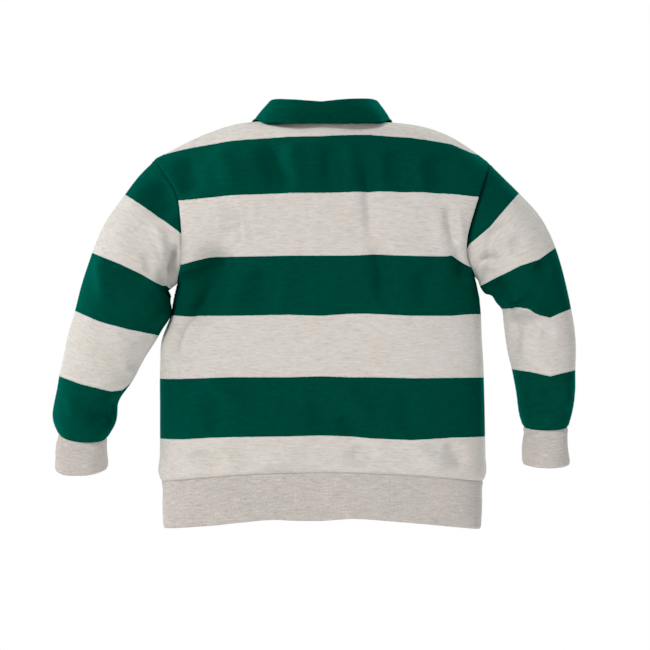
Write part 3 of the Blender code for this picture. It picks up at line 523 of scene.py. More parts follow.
def fold_profile(spots, fold):
    """How strongly a fold acts at each spot: full on its curve, fading across and at its ends."""
    line = np.reshape(fold[:2 * FOLD_POINTS], (FOLD_POINTS, 2))
    keys, steps = np.linspace(0.0, 1.0, FOLD_POINTS), np.linspace(0.0, 1.0, FOLD_STEPS + 1)
    fine = np.stack([through(keys, line[:, axis], steps) for axis in range(2)], axis=1)
    best = np.full(spots.shape[:-1], np.inf)
    where = np.zeros(spots.shape[:-1])
    for step, (start, end) in enumerate(zip(fine, fine[1:])):
        run = end - start
        t = np.clip((spots - start) @ run / max(run @ run, 1e-12), 0.0, 1.0)
        away = np.linalg.norm(spots - start - t[..., None] * run, axis=-1)
        nearer = away < best
        best = np.where(nearer, away, best)
        where = np.where(nearer, (step + t) / FOLD_STEPS, where)
    taper = ease(where / FOLD_TAPER) * ease((1.0 - where) / FOLD_TAPER)
    return taper * np.exp(-(best / fold.width) ** 2)


def ripple(spots, seed, size):
    """A gentle unevenness of the cloth, from a few crossing waves."""
    draw = np.random.default_rng(seed)
    total = np.zeros(spots.shape[:-1])
    for _ in range(9):
        way = draw.normal(size=spots.shape[-1])
        way /= np.linalg.norm(way)
        total += np.sin(spots @ way * 2.0 * np.pi / (size * draw.uniform(0.7, 1.6)) + draw.uniform(0, 6.28))
    return total / 3.0


def border_distance(points, closed):
    """Distance of each point to the nearest border across and along the grid."""
    down = run_along(points)
    ends = np.minimum(down, down[-1] - down)
    if closed:
        return ends
    side = run_along(points, 1)
    return np.minimum(ends, np.minimum(side, side[:, -1:] - side))


SEAM_RIDGE = 0.0005
SEAM_RIDGE_PLACE = 0.0042
SEAM_RIDGE_WIDTH = 0.0024


def seam_groove(away, depth=0.0001, width=0.0016):
    """How far the cloth dips as it turns under at a seam, beside the ridge of the layers below."""
    ridge = SEAM_RIDGE * np.exp(-((away - SEAM_RIDGE_PLACE) / SEAM_RIDGE_WIDTH) ** 2)
    return ridge - depth * np.exp(-(away / width) ** 2)


def close_ring(grid):
    """A ring's grid with its first column once more at the end."""
    return np.concatenate((grid, grid[:, :1]), axis=1)


def flat_places(points, closed=False, stripe=None):
    """Where each point lies on the flat cloth: metres across and along the grain.

    In striped cloth the rows of stitches run along the stripes, which are all equally deep.
    """
    if closed:
        points = close_ring(points)
    across = run_along(points, 1)
    if not closed:
        middle = points.shape[1] // 2
        across = across - across[:, middle:middle + 1]
    if stripe is not None:
        return np.stack([across, (close_ring(stripe) if closed else stripe) * -STRIPE_DEPTH], axis=-1)
    grain = run_along(points).mean(axis=1)
    return np.stack([across, np.broadcast_to(grain[:, None], across.shape)], axis=-1)


def body_stripe(points):
    """Which stripe each point of a body panel lies in, counted down from the yoke."""
    names = StripeRow._fields[1:]
    keys = column(BODY_STRIPES, "x")[::-1]
    edges = np.stack([np.interp(points[..., 0], keys, column(BODY_STRIPES, name)[::-1])
                      for name in names], axis=-1)
    edges = np.concatenate((edges[..., :1] + NEXT_STRIPE, edges, edges[..., -1:] - NEXT_STRIPE), axis=-1)
    count = np.zeros(points.shape[:-1])
    for index in range(edges.shape[-1] - 1):
        high, low = edges[..., index], edges[..., index + 1]
        share = (high - points[..., 2]) / (high - low)
        inside = (share >= 0.0) & ((share < 1.0) | (index == edges.shape[-1] - 2))
        count = np.where(inside, index + share, count)
    return count


def lay_cloth(name, points, places, finish, stripe=None, closed=False, flip=False, dropped=None,
              wall=JERSEY):
    """Make a piece of cloth from a grid of points, with its place on the flat cloth as UV."""
    if stripe is None:
        stripe = np.zeros(points.shape[:2])
    if closed:
        points, stripe = close_ring(points), close_ring(stripe)
    rows, columns = points.shape[:2]
    work = bmesh.new()
    bmesh.ops.create_grid(work, x_segments=columns - 1, y_segments=rows - 1, size=1.0)
    work.verts.ensure_lookup_table()
    mark = work.verts.layers.float.new("stripe")
    cloth_uv = work.loops.layers.uv.new("cloth")
    for vert, spot, band in zip(work.verts, points.reshape(-1, 3), stripe.reshape(-1)):
        vert.co = spot
        vert[mark] = band
    flat_uv = places.reshape(-1, 2)
    for face in work.faces:
        for corner in face.loops:
            corner[cloth_uv].uv = flat_uv[corner.vert.index]
    if dropped is not None:
        work.faces.ensure_lookup_table()
        gone = [work.faces[row * (columns - 1) + col] for row, col in zip(*np.nonzero(dropped))]
        bmesh.ops.delete(work, geom=gone, context="FACES")
    if closed:
        bmesh.ops.remove_doubles(work, verts=work.verts, dist=1e-6)
    if flip:
        bmesh.ops.reverse_faces(work, faces=work.faces)
    piece = add_mesh(name, work, finish.material)
    thickness = piece.modifiers.new("wall", "SOLIDIFY")
    thickness.thickness = wall
    thickness.offset = -1.0
    thickness.use_even_offset = False
    return piece


class Wire:
    """One value in a material, so that shader maths reads as plain sums."""

    def __init__(self, tree, socket):
        self.tree, self.socket = tree, socket

    def maths(self, operation, *others):
        node = self.tree.nodes.new("ShaderNodeMath")
        node.operation = operation
        for socket, value in zip(node.inputs, (self,) + others):
            plug(self.tree, socket, value)
        return Wire(self.tree, node.outputs[0])

    def __add__(self, other):
        return self.maths("ADD", other)

    __radd__ = __add__

    def __mul__(self, other):
        return self.maths("MULTIPLY", other)

    __rmul__ = __mul__

    def __sub__(self, other):
        return self.maths("SUBTRACT", other)

    def __rsub__(self, other):
        return (self * -1.0) + other

    def limited(self):
        """The value kept between 0 and 1."""
        node = self.tree.nodes.new("ShaderNodeClamp")
        plug(self.tree, node.inputs[0], self)
        return Wire(self.tree, node.outputs[0])


def plug(tree, socket, value):
    """Link a wire to a socket, or set a plain value on it."""
    if isinstance(value, Wire):
        tree.links.new(value.socket, socket)
    else:
        socket.default_value = value


class Finish:
    """A Principled material that is built up from nodes."""

    def __init__(self, name, roughness, sheen=0.0, sheen_tint=(1.0, 1.0, 1.0, 1.0), gloss=0.0):
        self.material = bpy.data.materials.new(name)
        self.material.use_nodes = True
        self.tree = self.material.node_tree
        self.shader = self.tree.nodes["Principled BSDF"]
        self.shader.inputs["Roughness"].default_value = roughness
        self.shader.inputs["Sheen Weight"].default_value = sheen
        self.shader.inputs["Sheen Roughness"].default_value = 0.6
        self.shader.inputs["Sheen Tint"].default_value = sheen_tint
        self.shader.inputs["Specular IOR Level"].default_value = gloss

    def node(self, kind, settings=(), inputs=(), output=0):
        """Add a node, set its options, then its sockets, and give one of its outputs."""
        made = self.tree.nodes.new(kind)
        for name, value in dict(settings).items():
            setattr(made, name, value)
        for name, value in dict(inputs).items():
            plug(self.tree, made.inputs[name], value)
        return Wire(self.tree, made.outputs[output])

    def blend(self, share, first, second):
        """A colour between two colours."""
        made = self.tree.nodes.new("ShaderNodeMix")
        made.data_type = "RGBA"
        for index, value in ((0, share), (6, first), (7, second)):
            plug(self.tree, made.inputs[index], value)
        return Wire(self.tree, made.outputs[2])

    def noise(self, vector, scale, detail=2.0, roughness=0.5):
        """A noise value around 0.5."""
        return self.node("ShaderNodeTexNoise", {}, {"Vector": vector, "Scale": scale,
                                                    "Detail": detail, "Roughness": roughness})

    def stretched(self, vector, across, along_grain, turn=0.0):
        """A pattern's coordinates with its own scale across and along the cloth."""
        return self.node("ShaderNodeMapping", {}, {"Vector": vector,
                                                   "Rotation": (0.0, 0.0, turn),
                                                   "Scale": (across, along_grain, 1.0)})

    def put(self, name, value):
        plug(self.tree, self.shader.inputs[name], value)

    def relief(self, height, distance, strength=1.0):
        """Raise the surface by a height from 0 to 1 times a distance."""
        made = self.tree.nodes.new("ShaderNodeBump")
        made.inputs["Strength"].default_value = strength
        made.inputs["Distance"].default_value = distance
        plug(self.tree, made.inputs["Height"], height)
        self.tree.links.new(made.outputs[0], self.shader.inputs["Normal"])

    def parts(self, vector):
        """The three numbers of a vector."""
        made = self.tree.nodes.new("ShaderNodeSeparateXYZ")
        plug(self.tree, made.inputs[0], vector)
        return [Wire(self.tree, socket) for socket in made.outputs]

    def mottled(self, cloth, across, along_grain, deep, light, detail=4.0, roughness=0.6):
        """Dyed yarn, as soft clouds and the colour between two shades that they give."""
        clouds = self.noise(self.stretched(cloth, across, along_grain), 1.0, detail, roughness)
        return clouds, self.blend(((clouds - 0.35) * 2.5).limited(), deep, light)


# Yarn colours: bottle green, and an oatmeal melange of pale, sandy and grey fibres
GREEN_YARN = (0.0002, 0.0455, 0.0350, 1.0)
GREEN_DEEP = (0.0001, 0.0385, 0.0296, 1.0)
GREEN_SHEEN = (0.0, 0.62, 0.54, 1.0)
OAT_PALE = (0.580, 0.543, 0.513, 1.0)
OAT_SAND = (0.550, 0.503, 0.460, 1.0)
OAT_GREY = (0.380, 0.345, 0.322, 1.0)
OAT_WARM = (0.545, 0.498, 0.425, 1.0)
OAT_BRIGHT = (0.700, 0.675, 0.635, 1.0)
OAT_TAN = (0.420, 0.330, 0.255, 1.0)
STITCH_ACROSS = 1.0 / 0.0011
STITCH_ALONG = 1.0 / 0.0009


def oatmeal(finish, cloth, pale, sand, grey):
    """Melange colour: sandy clouds and short dark and pale fibres that run across the cloth."""
    clouds = finish.noise(finish.stretched(cloth, 45.0, 130.0), 1.0, 3.0)
    flecks = finish.noise(finish.stretched(cloth, 82.0, 470.0), 1.0, 2.0, 0.6)
    fibres = finish.noise(finish.stretched(cloth, 260.0, 1300.0), 1.0, 2.0, 0.6)
    sandy = ((clouds - 0.42) * 3.5).limited()
    tone = finish.blend(sandy, pale, sand)
    warm = finish.noise(finish.stretched(cloth, 14.0, 22.0), 1.0, 2.0)
    tone = finish.blend(((warm - 0.45) * 4.0).limited() * 0.40, tone, OAT_WARM)
    dark = ((flecks - 0.55) * 7.0).limited() * 0.42 + ((fibres - 0.58) * 6.0).limited() * 0.34
    tone = finish.blend(dark.limited(), tone, grey)
    bright = ((0.44 - flecks) * 6.0).limited() * 0.45
    tone = finish.blend(bright, tone, OAT_BRIGHT)
    tan = finish.noise(finish.stretched(cloth, 120.0, 620.0), 1.0, 1.0, 0.5)
    return finish.blend(((tan - 0.60) * 8.0).limited() * 0.45, tone, OAT_TAN)


def arches(across):
    """Round tops side by side, one for each unit across: the columns of a knit."""
    return (across * math.pi).maths("SINE").maths("ABSOLUTE")


def knit_height(finish, cloth):
    """Height of jersey's rows of small V stitches."""
    across, grain, _ = finish.parts(cloth)
    wale = arches(across * STITCH_ACROSS)
    course = ((grain * STITCH_ALONG + wale * 0.5) * (2.0 * math.pi)).maths("SINE") * 0.25 + 0.5
    return wale * 0.5 + course


jersey = Finish("jersey", 0.95, 0.10, GREEN_SHEEN)
cloth = jersey.node("ShaderNodeUVMap", {"uv_map": "cloth"})
band = jersey.node("ShaderNodeAttribute", {"attribute_name": "stripe"}, output=2)
wander = (jersey.noise(jersey.stretched(cloth, 300.0, 300.0), 1.0, 2.0) - 0.5) * 0.012
turnover = ((band + wander) * 0.5).maths("FRACT")
green_share = ((0.25 - (turnover - 0.75).maths("ABSOLUTE")) * 220.0 + 0.5).limited()
oat_tone = oatmeal(jersey, cloth, OAT_PALE, OAT_SAND, OAT_GREY)
_, green_tone = jersey.mottled(cloth, 90.0, 260.0, GREEN_DEEP, GREEN_YARN)
jersey.put("Base Color", jersey.blend(green_share, oat_tone, green_tone))
nap = jersey.noise(jersey.stretched(cloth, 900.0, 900.0), 1.0, 3.0, 0.7)
jersey.relief(knit_height(jersey, cloth) * 0.6 + nap * 0.8, 0.00035, 0.55)

CLOTH_RIPPLE = 0.0009
body_grids = {}
for side in ("back", "front"):
    flip = side == "front"
    base = body_panel(side)
    base[UNDERARM] = settle(base[UNDERARM], False, 60)
    stripe = body_stripe(base)
    places = flat_places(base, stripe=stripe)
    away = border_distance(base, False)
    push = ripple(base, 11 if flip else 5, 0.11) * CLOTH_RIPPLE
    for fold in BODY_FOLDS[side]:
        push += fold.height * fold_profile(base[..., (0, 2)], fold)
    push = push * ease(away / 0.016) + seam_groove(away)
    grid = base + grid_normals(base, False, flip) * push[..., None]
    body_grids[side] = grid
    dropped = None
    if side == "front":
        slit_row = SIDE_ROWS + int(round(SLIT_TURN * ARMHOLE_ROWS))
        dropped = np.zeros((grid.shape[0] - 1, grid.shape[1] - 1), dtype=bool)
        dropped[slit_row:, MIDDLE - SLIT_COLUMNS:MIDDLE + SLIT_COLUMNS] = True
    panel = lay_cloth(side + "_panel", grid, places, jersey, stripe, flip=flip, dropped=dropped)
    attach(panel, "root")
    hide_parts(side)
    0.198 if side == "back" else 0.190

# Sleeves. Two set-in tubes of the same jersey, each with an underarm seam, bent at the elbow
# so that the cloth bunches inside the bend, and gathered a little over the cuff.
Ring = namedtuple("Ring", "share outer_x outer_z inner_x inner_z middle_y depth lean")
SLEEVE_RINGS = {
    "left": (
        Ring(0.00, 0.2087, -0.0438, 0.1806, -0.1988, 0.0000, 0.0435, 0.0),
        Ring(0.12, 0.2290, -0.0640, 0.1888, -0.2066, 0.0010, 0.0465, 0.0),
        Ring(0.25, 0.2480, -0.0885, 0.1940, -0.2135, 0.0020, 0.0490, 1.0),
        Ring(0.38, 0.2700, -0.1220, 0.1864, -0.2225, 0.0040, 0.0500, 2.0),
        Ring(0.50, 0.2890, -0.1660, 0.1878, -0.2390, 0.0050, 0.0500, 4.0),
        Ring(0.62, 0.3065, -0.2230, 0.2008, -0.2575, 0.0030, 0.0490, 8.0),
        Ring(0.74, 0.3200, -0.2725, 0.2170, -0.2840, -0.0030, 0.0460, 12.0),
        Ring(0.84, 0.3305, -0.3150, 0.2355, -0.3175, -0.0120, 0.0425, 15.0),
        Ring(0.92, 0.3380, -0.3490, 0.2580, -0.3505, -0.0210, 0.0385, 16.0),
        Ring(0.97, 0.3400, -0.3720, 0.2600, -0.3760, -0.0275, 0.0355, 17.0),
        Ring(1.00, 0.3320, -0.3875, 0.2725, -0.3935, -0.0310, 0.0270, 17.0),
    ),
    "right": (
        Ring(0.00, 0.2087, -0.0492, 0.1900, -0.1888, 0.0000, 0.0435, 0.0),
        Ring(0.12, 0.2278, -0.0672, 0.1950, -0.1960, 0.0010, 0.0465, 0.0),
        Ring(0.25, 0.2496, -0.0900, 0.1978, -0.2050, 0.0020, 0.0490, 0.0),
        Ring(0.38, 0.2728, -0.1185, 0.2050, -0.2150, 0.0030, 0.0500, 1.0),
        Ring(0.50, 0.2912, -0.1545, 0.2180, -0.2250, 0.0040, 0.0495, 2.0),
        Ring(0.60, 0.3022, -0.1880, 0.2240, -0.2325, 0.0040, 0.0490, 3.0),
        Ring(0.70, 0.3110, -0.2280, 0.2265, -0.2480, 0.0030, 0.0470, 5.0),
        Ring(0.80, 0.3172, -0.2720, 0.2300, -0.2740, 0.0000, 0.0445, 7.0),
        Ring(0.88, 0.3175, -0.3080, 0.2355, -0.3050, -0.0040, 0.0415, 8.0),
        Ring(0.95, 0.3170, -0.3450, 0.2440, -0.3430, -0.0090, 0.0380, 9.0),
        Ring(0.98, 0.3130, -0.3675, 0.2470, -0.3665, -0.0120, 0.0350, 9.0),
        Ring(1.00, 0.3082, -0.3785, 0.2535, -0.3785, -0.0140, 0.0260, 9.0),
    ),
}
ARMHOLE_BOW_END = 0.34
SLEEVE_LENGTH = 0.36
WRIST_STRIPE = 0.090
SLEEVE_ROWS = 128
SLEEVE_COLUMNS = 104

# The largest folds of each tube, as in the solids: where along and around it each one lies. A
# turn of 0 is the underarm, 90 the back, 180 the outer side and 270 the front
SleeveFold = namedtuple("SleeveFold", "share turn length width height")
SLEEVE_FOLDS = {
    "left": (
        SleeveFold(0.20, 48.0, 34.0, 0.035, -0.0050),
        SleeveFold(0.45, 60.0, 38.0, 0.035, -0.0045),
        SleeveFold(0.62, 62.0, 36.0, 0.035, -0.0050),
        SleeveFold(0.80, 300.0, 40.0, 0.030, -0.0045),
        SleeveFold(0.40, 320.0, 60.0, 0.040, -0.0060),
        SleeveFold(0.88, 120.0, 70.0, 0.022, -0.0025),
    ),
    "right": (
        SleeveFold(0.20, 60.0, 35.0, 0.030, -0.0050),
        SleeveFold(0.60, 58.0, 36.0, 0.028, -0.0055),
        SleeveFold(0.70, 85.0, 45.0, 0.028, -0.0050),
        SleeveFold(0.64, 300.0, 40.0, 0.030, -0.0045),
        SleeveFold(0.42, 330.0, 60.0, 0.040, -0.0055),
        SleeveFold(0.88, 300.0, 70.0, 0.024, -0.0030),
    ),
}

# Smaller creases, drawn on the half that is seen from behind or on the hidden front half
SLEEVE_CREASES = {
    "left": {
        "back": (
            Fold(0.178, -0.150, 0.182, -0.178, 0.190, -0.212, 0.0070, -0.0154),
            Fold(0.214, -0.072, 0.202, -0.098, 0.192, -0.128, 0.0170, -0.0126),
            Fold(0.190, -0.058, 0.180, -0.078, 0.174, -0.094, 0.0070, 0.0036),
            Fold(0.206, -0.122, 0.198, -0.150, 0.196, -0.194, 0.0080, 0.0084),
            Fold(0.214, -0.150, 0.212, -0.178, 0.208, -0.204, 0.0080, -0.0042),
            Fold(0.240, -0.130, 0.226, -0.146, 0.214, -0.160, 0.0120, -0.0036),
            Fold(0.272, -0.160, 0.268, -0.192, 0.264, -0.232, 0.0100, 0.0081),
            Fold(0.252, -0.180, 0.234, -0.196, 0.212, -0.204, 0.0120, -0.0056),
            Fold(0.262, -0.250, 0.246, -0.272, 0.226, -0.284, 0.0060, 0.0032),
            Fold(0.280, -0.262, 0.262, -0.286, 0.240, -0.300, 0.0060, -0.0029),
            Fold(0.250, -0.300, 0.240, -0.308, 0.226, -0.312, 0.0050, 0.0029),
            Fold(0.284, -0.350, 0.280, -0.366, 0.276, -0.380, 0.0100, -0.0049),
            Fold(0.262, -0.340, 0.258, -0.356, 0.262, -0.372, 0.0060, -0.0049),
            Fold(0.316, -0.330, 0.310, -0.350, 0.306, -0.372, 0.0080, 0.0036),
        ),
        "front": (
            Fold(0.214, -0.090, 0.206, -0.130, 0.200, -0.180, 0.0110, -0.0078),
            Fold(0.262, -0.190, 0.238, -0.214, 0.208, -0.222, 0.0090, -0.0078),
            Fold(0.274, -0.220, 0.248, -0.240, 0.214, -0.248, 0.0090, 0.0066),
            Fold(0.280, -0.262, 0.258, -0.272, 0.230, -0.268, 0.0080, -0.0066),
            Fold(0.312, -0.300, 0.300, -0.330, 0.296, -0.366, 0.0100, -0.0043),
        ),
    },
    "right": {
        "back": (
            Fold(-0.196, -0.190, -0.206, -0.212, -0.220, -0.226, 0.0100, 0.0030),
            Fold(-0.226, -0.060, -0.214, -0.082, -0.206, -0.110, 0.0130, -0.0022),
            Fold(-0.236, -0.126, -0.214, -0.138, -0.196, -0.150, 0.0070, -0.0043),
            Fold(-0.240, -0.142, -0.222, -0.150, -0.204, -0.160, 0.0060, 0.0032),
            Fold(-0.190, -0.172, -0.206, -0.169, -0.220, -0.172, 0.0045, -0.0056),
            Fold(-0.194, -0.178, -0.208, -0.178, -0.224, -0.180, 0.0050, 0.0032),
            Fold(-0.228, -0.162, -0.240, -0.154, -0.252, -0.150, 0.0070, -0.0036),
            Fold(-0.206, -0.196, -0.216, -0.206, -0.232, -0.216, 0.0100, -0.0066),
            Fold(-0.262, -0.174, -0.272, -0.182, -0.284, -0.186, 0.0110, -0.0049),
            Fold(-0.224, -0.222, -0.250, -0.227, -0.286, -0.238, 0.0085, 0.0080),
            Fold(-0.222, -0.250, -0.242, -0.253, -0.272, -0.257, 0.0125, -0.0100),
            Fold(-0.246, -0.248, -0.250, -0.268, -0.248, -0.296, 0.0060, 0.0036),
            Fold(-0.236, -0.250, -0.238, -0.270, -0.240, -0.290, 0.0070, -0.0049),
            Fold(-0.266, -0.262, -0.276, -0.262, -0.288, -0.256, 0.0090, -0.0043),
            Fold(-0.276, -0.326, -0.276, -0.342, -0.272, -0.362, 0.0130, -0.0059),
            Fold(-0.300, -0.316, -0.302, -0.340, -0.300, -0.362, 0.0080, 0.0043),
        ),
        "front": (
            Fold(-0.214, -0.086, -0.206, -0.126, -0.204, -0.176, 0.0110, -0.0073),
            Fold(-0.270, -0.190, -0.250, -0.214, -0.222, -0.222, 0.0090, -0.0081),
            Fold(-0.276, -0.216, -0.256, -0.240, -0.226, -0.246, 0.0090, 0.0069),
            Fold(-0.290, -0.320, -0.284, -0.340, -0.280, -0.362, 0.0100, -0.0043),
        ),
    },
}

# Where the stripes change on each sleeve, from the cap down: points of each line, seen from behind
SLEEVE_STRIPES = {
    "left": (
        ((0.170, -0.143), (0.180, -0.134), (0.215, -0.108), (0.2475, -0.0875), (0.270, -0.075)),
        ((0.185, -0.209), (0.2025, -0.200), (0.2525, -0.175), (0.290, -0.160), (0.310, -0.152)),
        ((0.190, -0.266), (0.2075, -0.2638), (0.240, -0.2575), (0.2775, -0.2475), (0.3088, -0.2338),
         (0.330, -0.225)),
        ((0.220, -0.310), (0.236, -0.320), (0.250, -0.332), (0.265, -0.3338), (0.3025, -0.325),
         (0.3288, -0.315), (0.350, -0.308)),
    ),
    "right": (
        ((0.165, -0.174), (0.179, -0.160), (0.185, -0.150), (0.210, -0.129), (0.2225, -0.1138),
         (0.245, -0.088), (0.260, -0.072)),
        ((0.190, -0.207), (0.2025, -0.200), (0.2225, -0.190), (0.2475, -0.1775), (0.2725, -0.169),
         (0.2898, -0.156), (0.310, -0.142)),
        ((0.210, -0.231), (0.2256, -0.231), (0.260, -0.230), (0.2725, -0.239), (0.285, -0.2425),
         (0.312, -0.231), (0.330, -0.224)),
        ((0.220, -0.305), (0.2375, -0.306), (0.260, -0.309), (0.285, -0.315), (0.316, -0.3075),
         (0.330, -0.304)),
    ),
}


def ring_points(table, hand, share, turn):
    """One ring of a sleeve or cuff: underarm first, then the back, outer side and front."""
    ring = row_at(table, share)
    outer = np.array([ring.outer_x, 0.0, ring.outer_z])
    inner = np.array([ring.inner_x, 0.0, ring.inner_z])
    lean = math.radians(ring.lean)
    depth_way = np.array([0.0, math.cos(lean), -math.sin(lean)])
    centre = (outer + inner) / 2.0 + np.array([0.0, ring.middle_y, 0.0])
    points = (centre - np.cos(turn)[:, None] * (outer - inner) / 2.0
              + np.sin(turn)[:, None] * ring.depth * depth_way)
    if hand == "right":
        points[:, 0] *= -1.0
    return points


def sleeve_grid(hand, shares):
    """Grid of a sleeve's tube, from the armhole seam to the cuff seam."""
    turn = 2.0 * math.pi * np.arange(SLEEVE_COLUMNS) / SLEEVE_COLUMNS
    half = np.linspace(0.0, math.pi, SLEEVE_COLUMNS // 2 + 1)
    loop = np.concatenate((armhole_edge("back", hand, half),
                           armhole_edge("front", hand, half)[-2:0:-1]))
    bow = loop - ring_points(SLEEVE_RINGS[hand], hand, 0.0, turn)
    degrees = np.degrees(turn)
    rows = []
    for share in shares:
        ring = ring_points(SLEEVE_RINGS[hand], hand, share, turn)
        spread = ring - ring.mean(axis=0)
        spread /= np.linalg.norm(spread, axis=1, keepdims=True)
        push = np.zeros(SLEEVE_COLUMNS)
        for fold in SLEEVE_FOLDS[hand]:
            away = np.abs((degrees - fold.turn + 180.0) % 360.0 - 180.0) / fold.length
            push += fold.height * np.exp(-away ** 2 - ((share - fold.share) / fold.width) ** 2)
        ring = ring + spread * (push * ease(min(share, 1.0 - share) / 0.05))[:, None]
        rows.append(ring + bow * (1.0 - ease(share / ARMHOLE_BOW_END)))
    return np.array(rows)


def as_seen(points):
    """Where points show on the centre plane from the camera, the front half as the back one."""
    eye = np.array(CAMERA_PLACE)
    reach = eye[1] / (eye[1] - np.abs(points[..., 1:2]))
    return eye[[0, 2]] + (points[..., (0, 2)] - eye[[0, 2]]) * reach


def sleeve_stripe(hand, points):
    """Which stripe each point of a sleeve lies in. The cap is the first green one."""
    shown = as_seen(points)
    x = np.abs(shown[..., 0])
    edges = [np.interp(x, *zip(*line)) for line in SLEEVE_STRIPES[hand]]
    edges = np.stack([edges[0] + NEXT_STRIPE] + edges + [edges[-1] - WRIST_STRIPE], axis=-1)
    above = 1.0 + (edges[..., 0] - shown[..., 1]) / STRIPE_DEPTH
    count = np.maximum(above, 1.05)
    for index in range(edges.shape[-1] - 1):
        high, low = edges[..., index], edges[..., index + 1]
        share = (high - shown[..., 1]) / (high - low)
        inside = (share >= 0.0) & (share < 1.0)
        count = np.where(inside, np.maximum(1.0 + index + share, 1.05), count)
    return np.where(shown[..., 1] < edges[..., -1], 5.95, count)


near = np.array(EDGE_STEPS) / SLEEVE_LENGTH
shares = np.sort(1.0 - shares_from_edge(SLEEVE_ROWS, 1.0, SLEEVE_LENGTH))
shares = np.unique(np.concatenate((near, shares[shares > near[-1]])))
for hand in ("left", "right"):
    base = settle(sleeve_grid(hand, shares), True, 14)
    flip = hand == "right"
    normals = grid_normals(base, True, flip)
    stripe = sleeve_stripe(hand, base)
    places = flat_places(base, True, stripe)
    away = border_distance(base, True)
    push = ripple(base, 23 if flip else 17, 0.07) * CLOTH_RIPPLE
    for side, sign in (("back", 1.0), ("front", -1.0)):
        facing = ease(normals[..., 1] * sign * 1.5 + 0.1)
        for crease in SLEEVE_CREASES[hand][side]:
            push += crease.height * facing * fold_profile(base[..., (0, 2)], crease)
    push = push * ease(away / 0.008) + seam_groove(away)
    tube = lay_cloth("sleeve_" + hand + "_tube", base + normals * push[..., None], places, jersey,
                     stripe, closed=True, flip=flip)
    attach(tube, "root")
    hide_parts("sleeve_" + hand)

# Cuffs and hem band. Doubled rib knit in a greyer oatmeal, folded at the free edge and sewn
# on with the cloth above eased in, so that it bulges a little over the seam.
RIB_WALL = 0.0026
FREE_EDGE_TURN = 0.0012
CUFF_RINGS = {
    "left": (
        Ring(0.0, 0.3320, -0.3875, 0.2725, -0.3935, -0.0310, 0.0270, 17.0),
        Ring(0.5, 0.3375, -0.4100, 0.2722, -0.4125, -0.0380, 0.0280, 17.0),
        Ring(1.0, 0.3398, -0.4335, 0.2722, -0.4325, -0.0450, 0.0295, 17.0),
    ),
    "right": (
        Ring(0.0, 0.3082, -0.3785, 0.2535, -0.3785, -0.0140, 0.0260, 9.0),
        Ring(0.5, 0.3102, -0.4020, 0.2525, -0.4015, -0.0180, 0.0270, 9.0),
        Ring(1.0, 0.3116, -0.4262, 0.2520, -0.4255, -0.0215, 0.0285, 9.0),
    ),
}
CUFF_DEPTH = 0.048
CUFF_COLUMNS = 96
CUFF_ROWS = 28
RibRow = namedtuple("RibRow", "down inset")
HEM_ROWS = (
    RibRow(0.0000, 0.0000),
    RibRow(0.0060, 0.0010),
    RibRow(0.0300, 0.0015),
    RibRow(0.0580, 0.0024),
)
HEM_LINES = 26

# How much deeper or shallower the band hangs across its width, as a share of its depth
HemDrop = namedtuple("HemDrop", "x drop")
HEM_DROPS = (
    HemDrop(-0.2050, 0.030),
    HemDrop(-0.1425, 0.010),
    HemDrop(-0.0862, -0.012),
    HemDrop(-0.0412, -0.030),
    HemDrop(0.0025, 0.020),
    HemDrop(0.0362, 0.010),
    HemDrop(0.0588, -0.020),
    HemDrop(0.1037, 0.000),
    HemDrop(0.1337, 0.020),
    HemDrop(0.1787, 0.010),
    HemDrop(0.2050, 0.000),
)
RIB_ACROSS = 1.0 / 0.0030
RIB_PALE = (0.472, 0.434, 0.402, 1.0)
RIB_SAND = (0.440, 0.396, 0.358, 1.0)
RIB_GREY = (0.255, 0.235, 0.216, 1.0)

rib = Finish("rib", 0.93, 0.10)
cloth = rib.node("ShaderNodeUVMap", {"uv_map": "cloth"})
rib_wave = arches(rib.parts(cloth)[0] * RIB_ACROSS)
rib_tone = oatmeal(rib, cloth, RIB_PALE, RIB_SAND, RIB_GREY)
rib_specks = rib.noise(rib.stretched(cloth, 430.0, 330.0), 1.0, 2.0, 0.7)
rib_tone = rib.blend(((rib_specks - 0.53) * 6.0).limited() * 0.55, rib_tone, RIB_GREY)
# The grooves between the ribs, where rib_wave and the relief are low, are painted darker toward grey:
# painted shade in the recesses
rib.put("Base Color", rib.blend((0.50 - rib_wave).limited() * 0.16, rib_tone, RIB_GREY))
rib_nap = rib.noise(rib.stretched(cloth, 1100.0, 1100.0), 1.0, 3.0, 0.7)
rib.relief(rib_wave * 1.0 + rib_nap * 0.6, 0.0003, 0.5)

turn = 2.0 * math.pi * np.arange(CUFF_COLUMNS) / CUFF_COLUMNS
near = np.array(EDGE_STEPS) / CUFF_DEPTH
shares = np.unique(np.concatenate((near, np.linspace(near[-1], 1.0, CUFF_ROWS))))
for hand in ("left", "right"):
    base = np.array([ring_points(CUFF_RINGS[hand], hand, share, turn) for share in shares])
    flip = hand == "right"
    away = np.broadcast_to((shares * CUFF_DEPTH)[:, None], base.shape[:2])
    push = ripple(base, 37 if flip else 31, 0.035) * 0.0007 * ease(away / 0.012)
    push = push + seam_groove(away, 0.0008) - FREE_EDGE_TURN * ease((shares[:, None] - 0.93) / 0.07)
    cuff = lay_cloth("cuff_" + hand + "_rib", base + grid_normals(base, True, flip) * push[..., None],
                     flat_places(base, True), rib, closed=True, flip=flip, wall=RIB_WALL)
    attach(cuff, "root")
    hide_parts("cuff_" + hand)

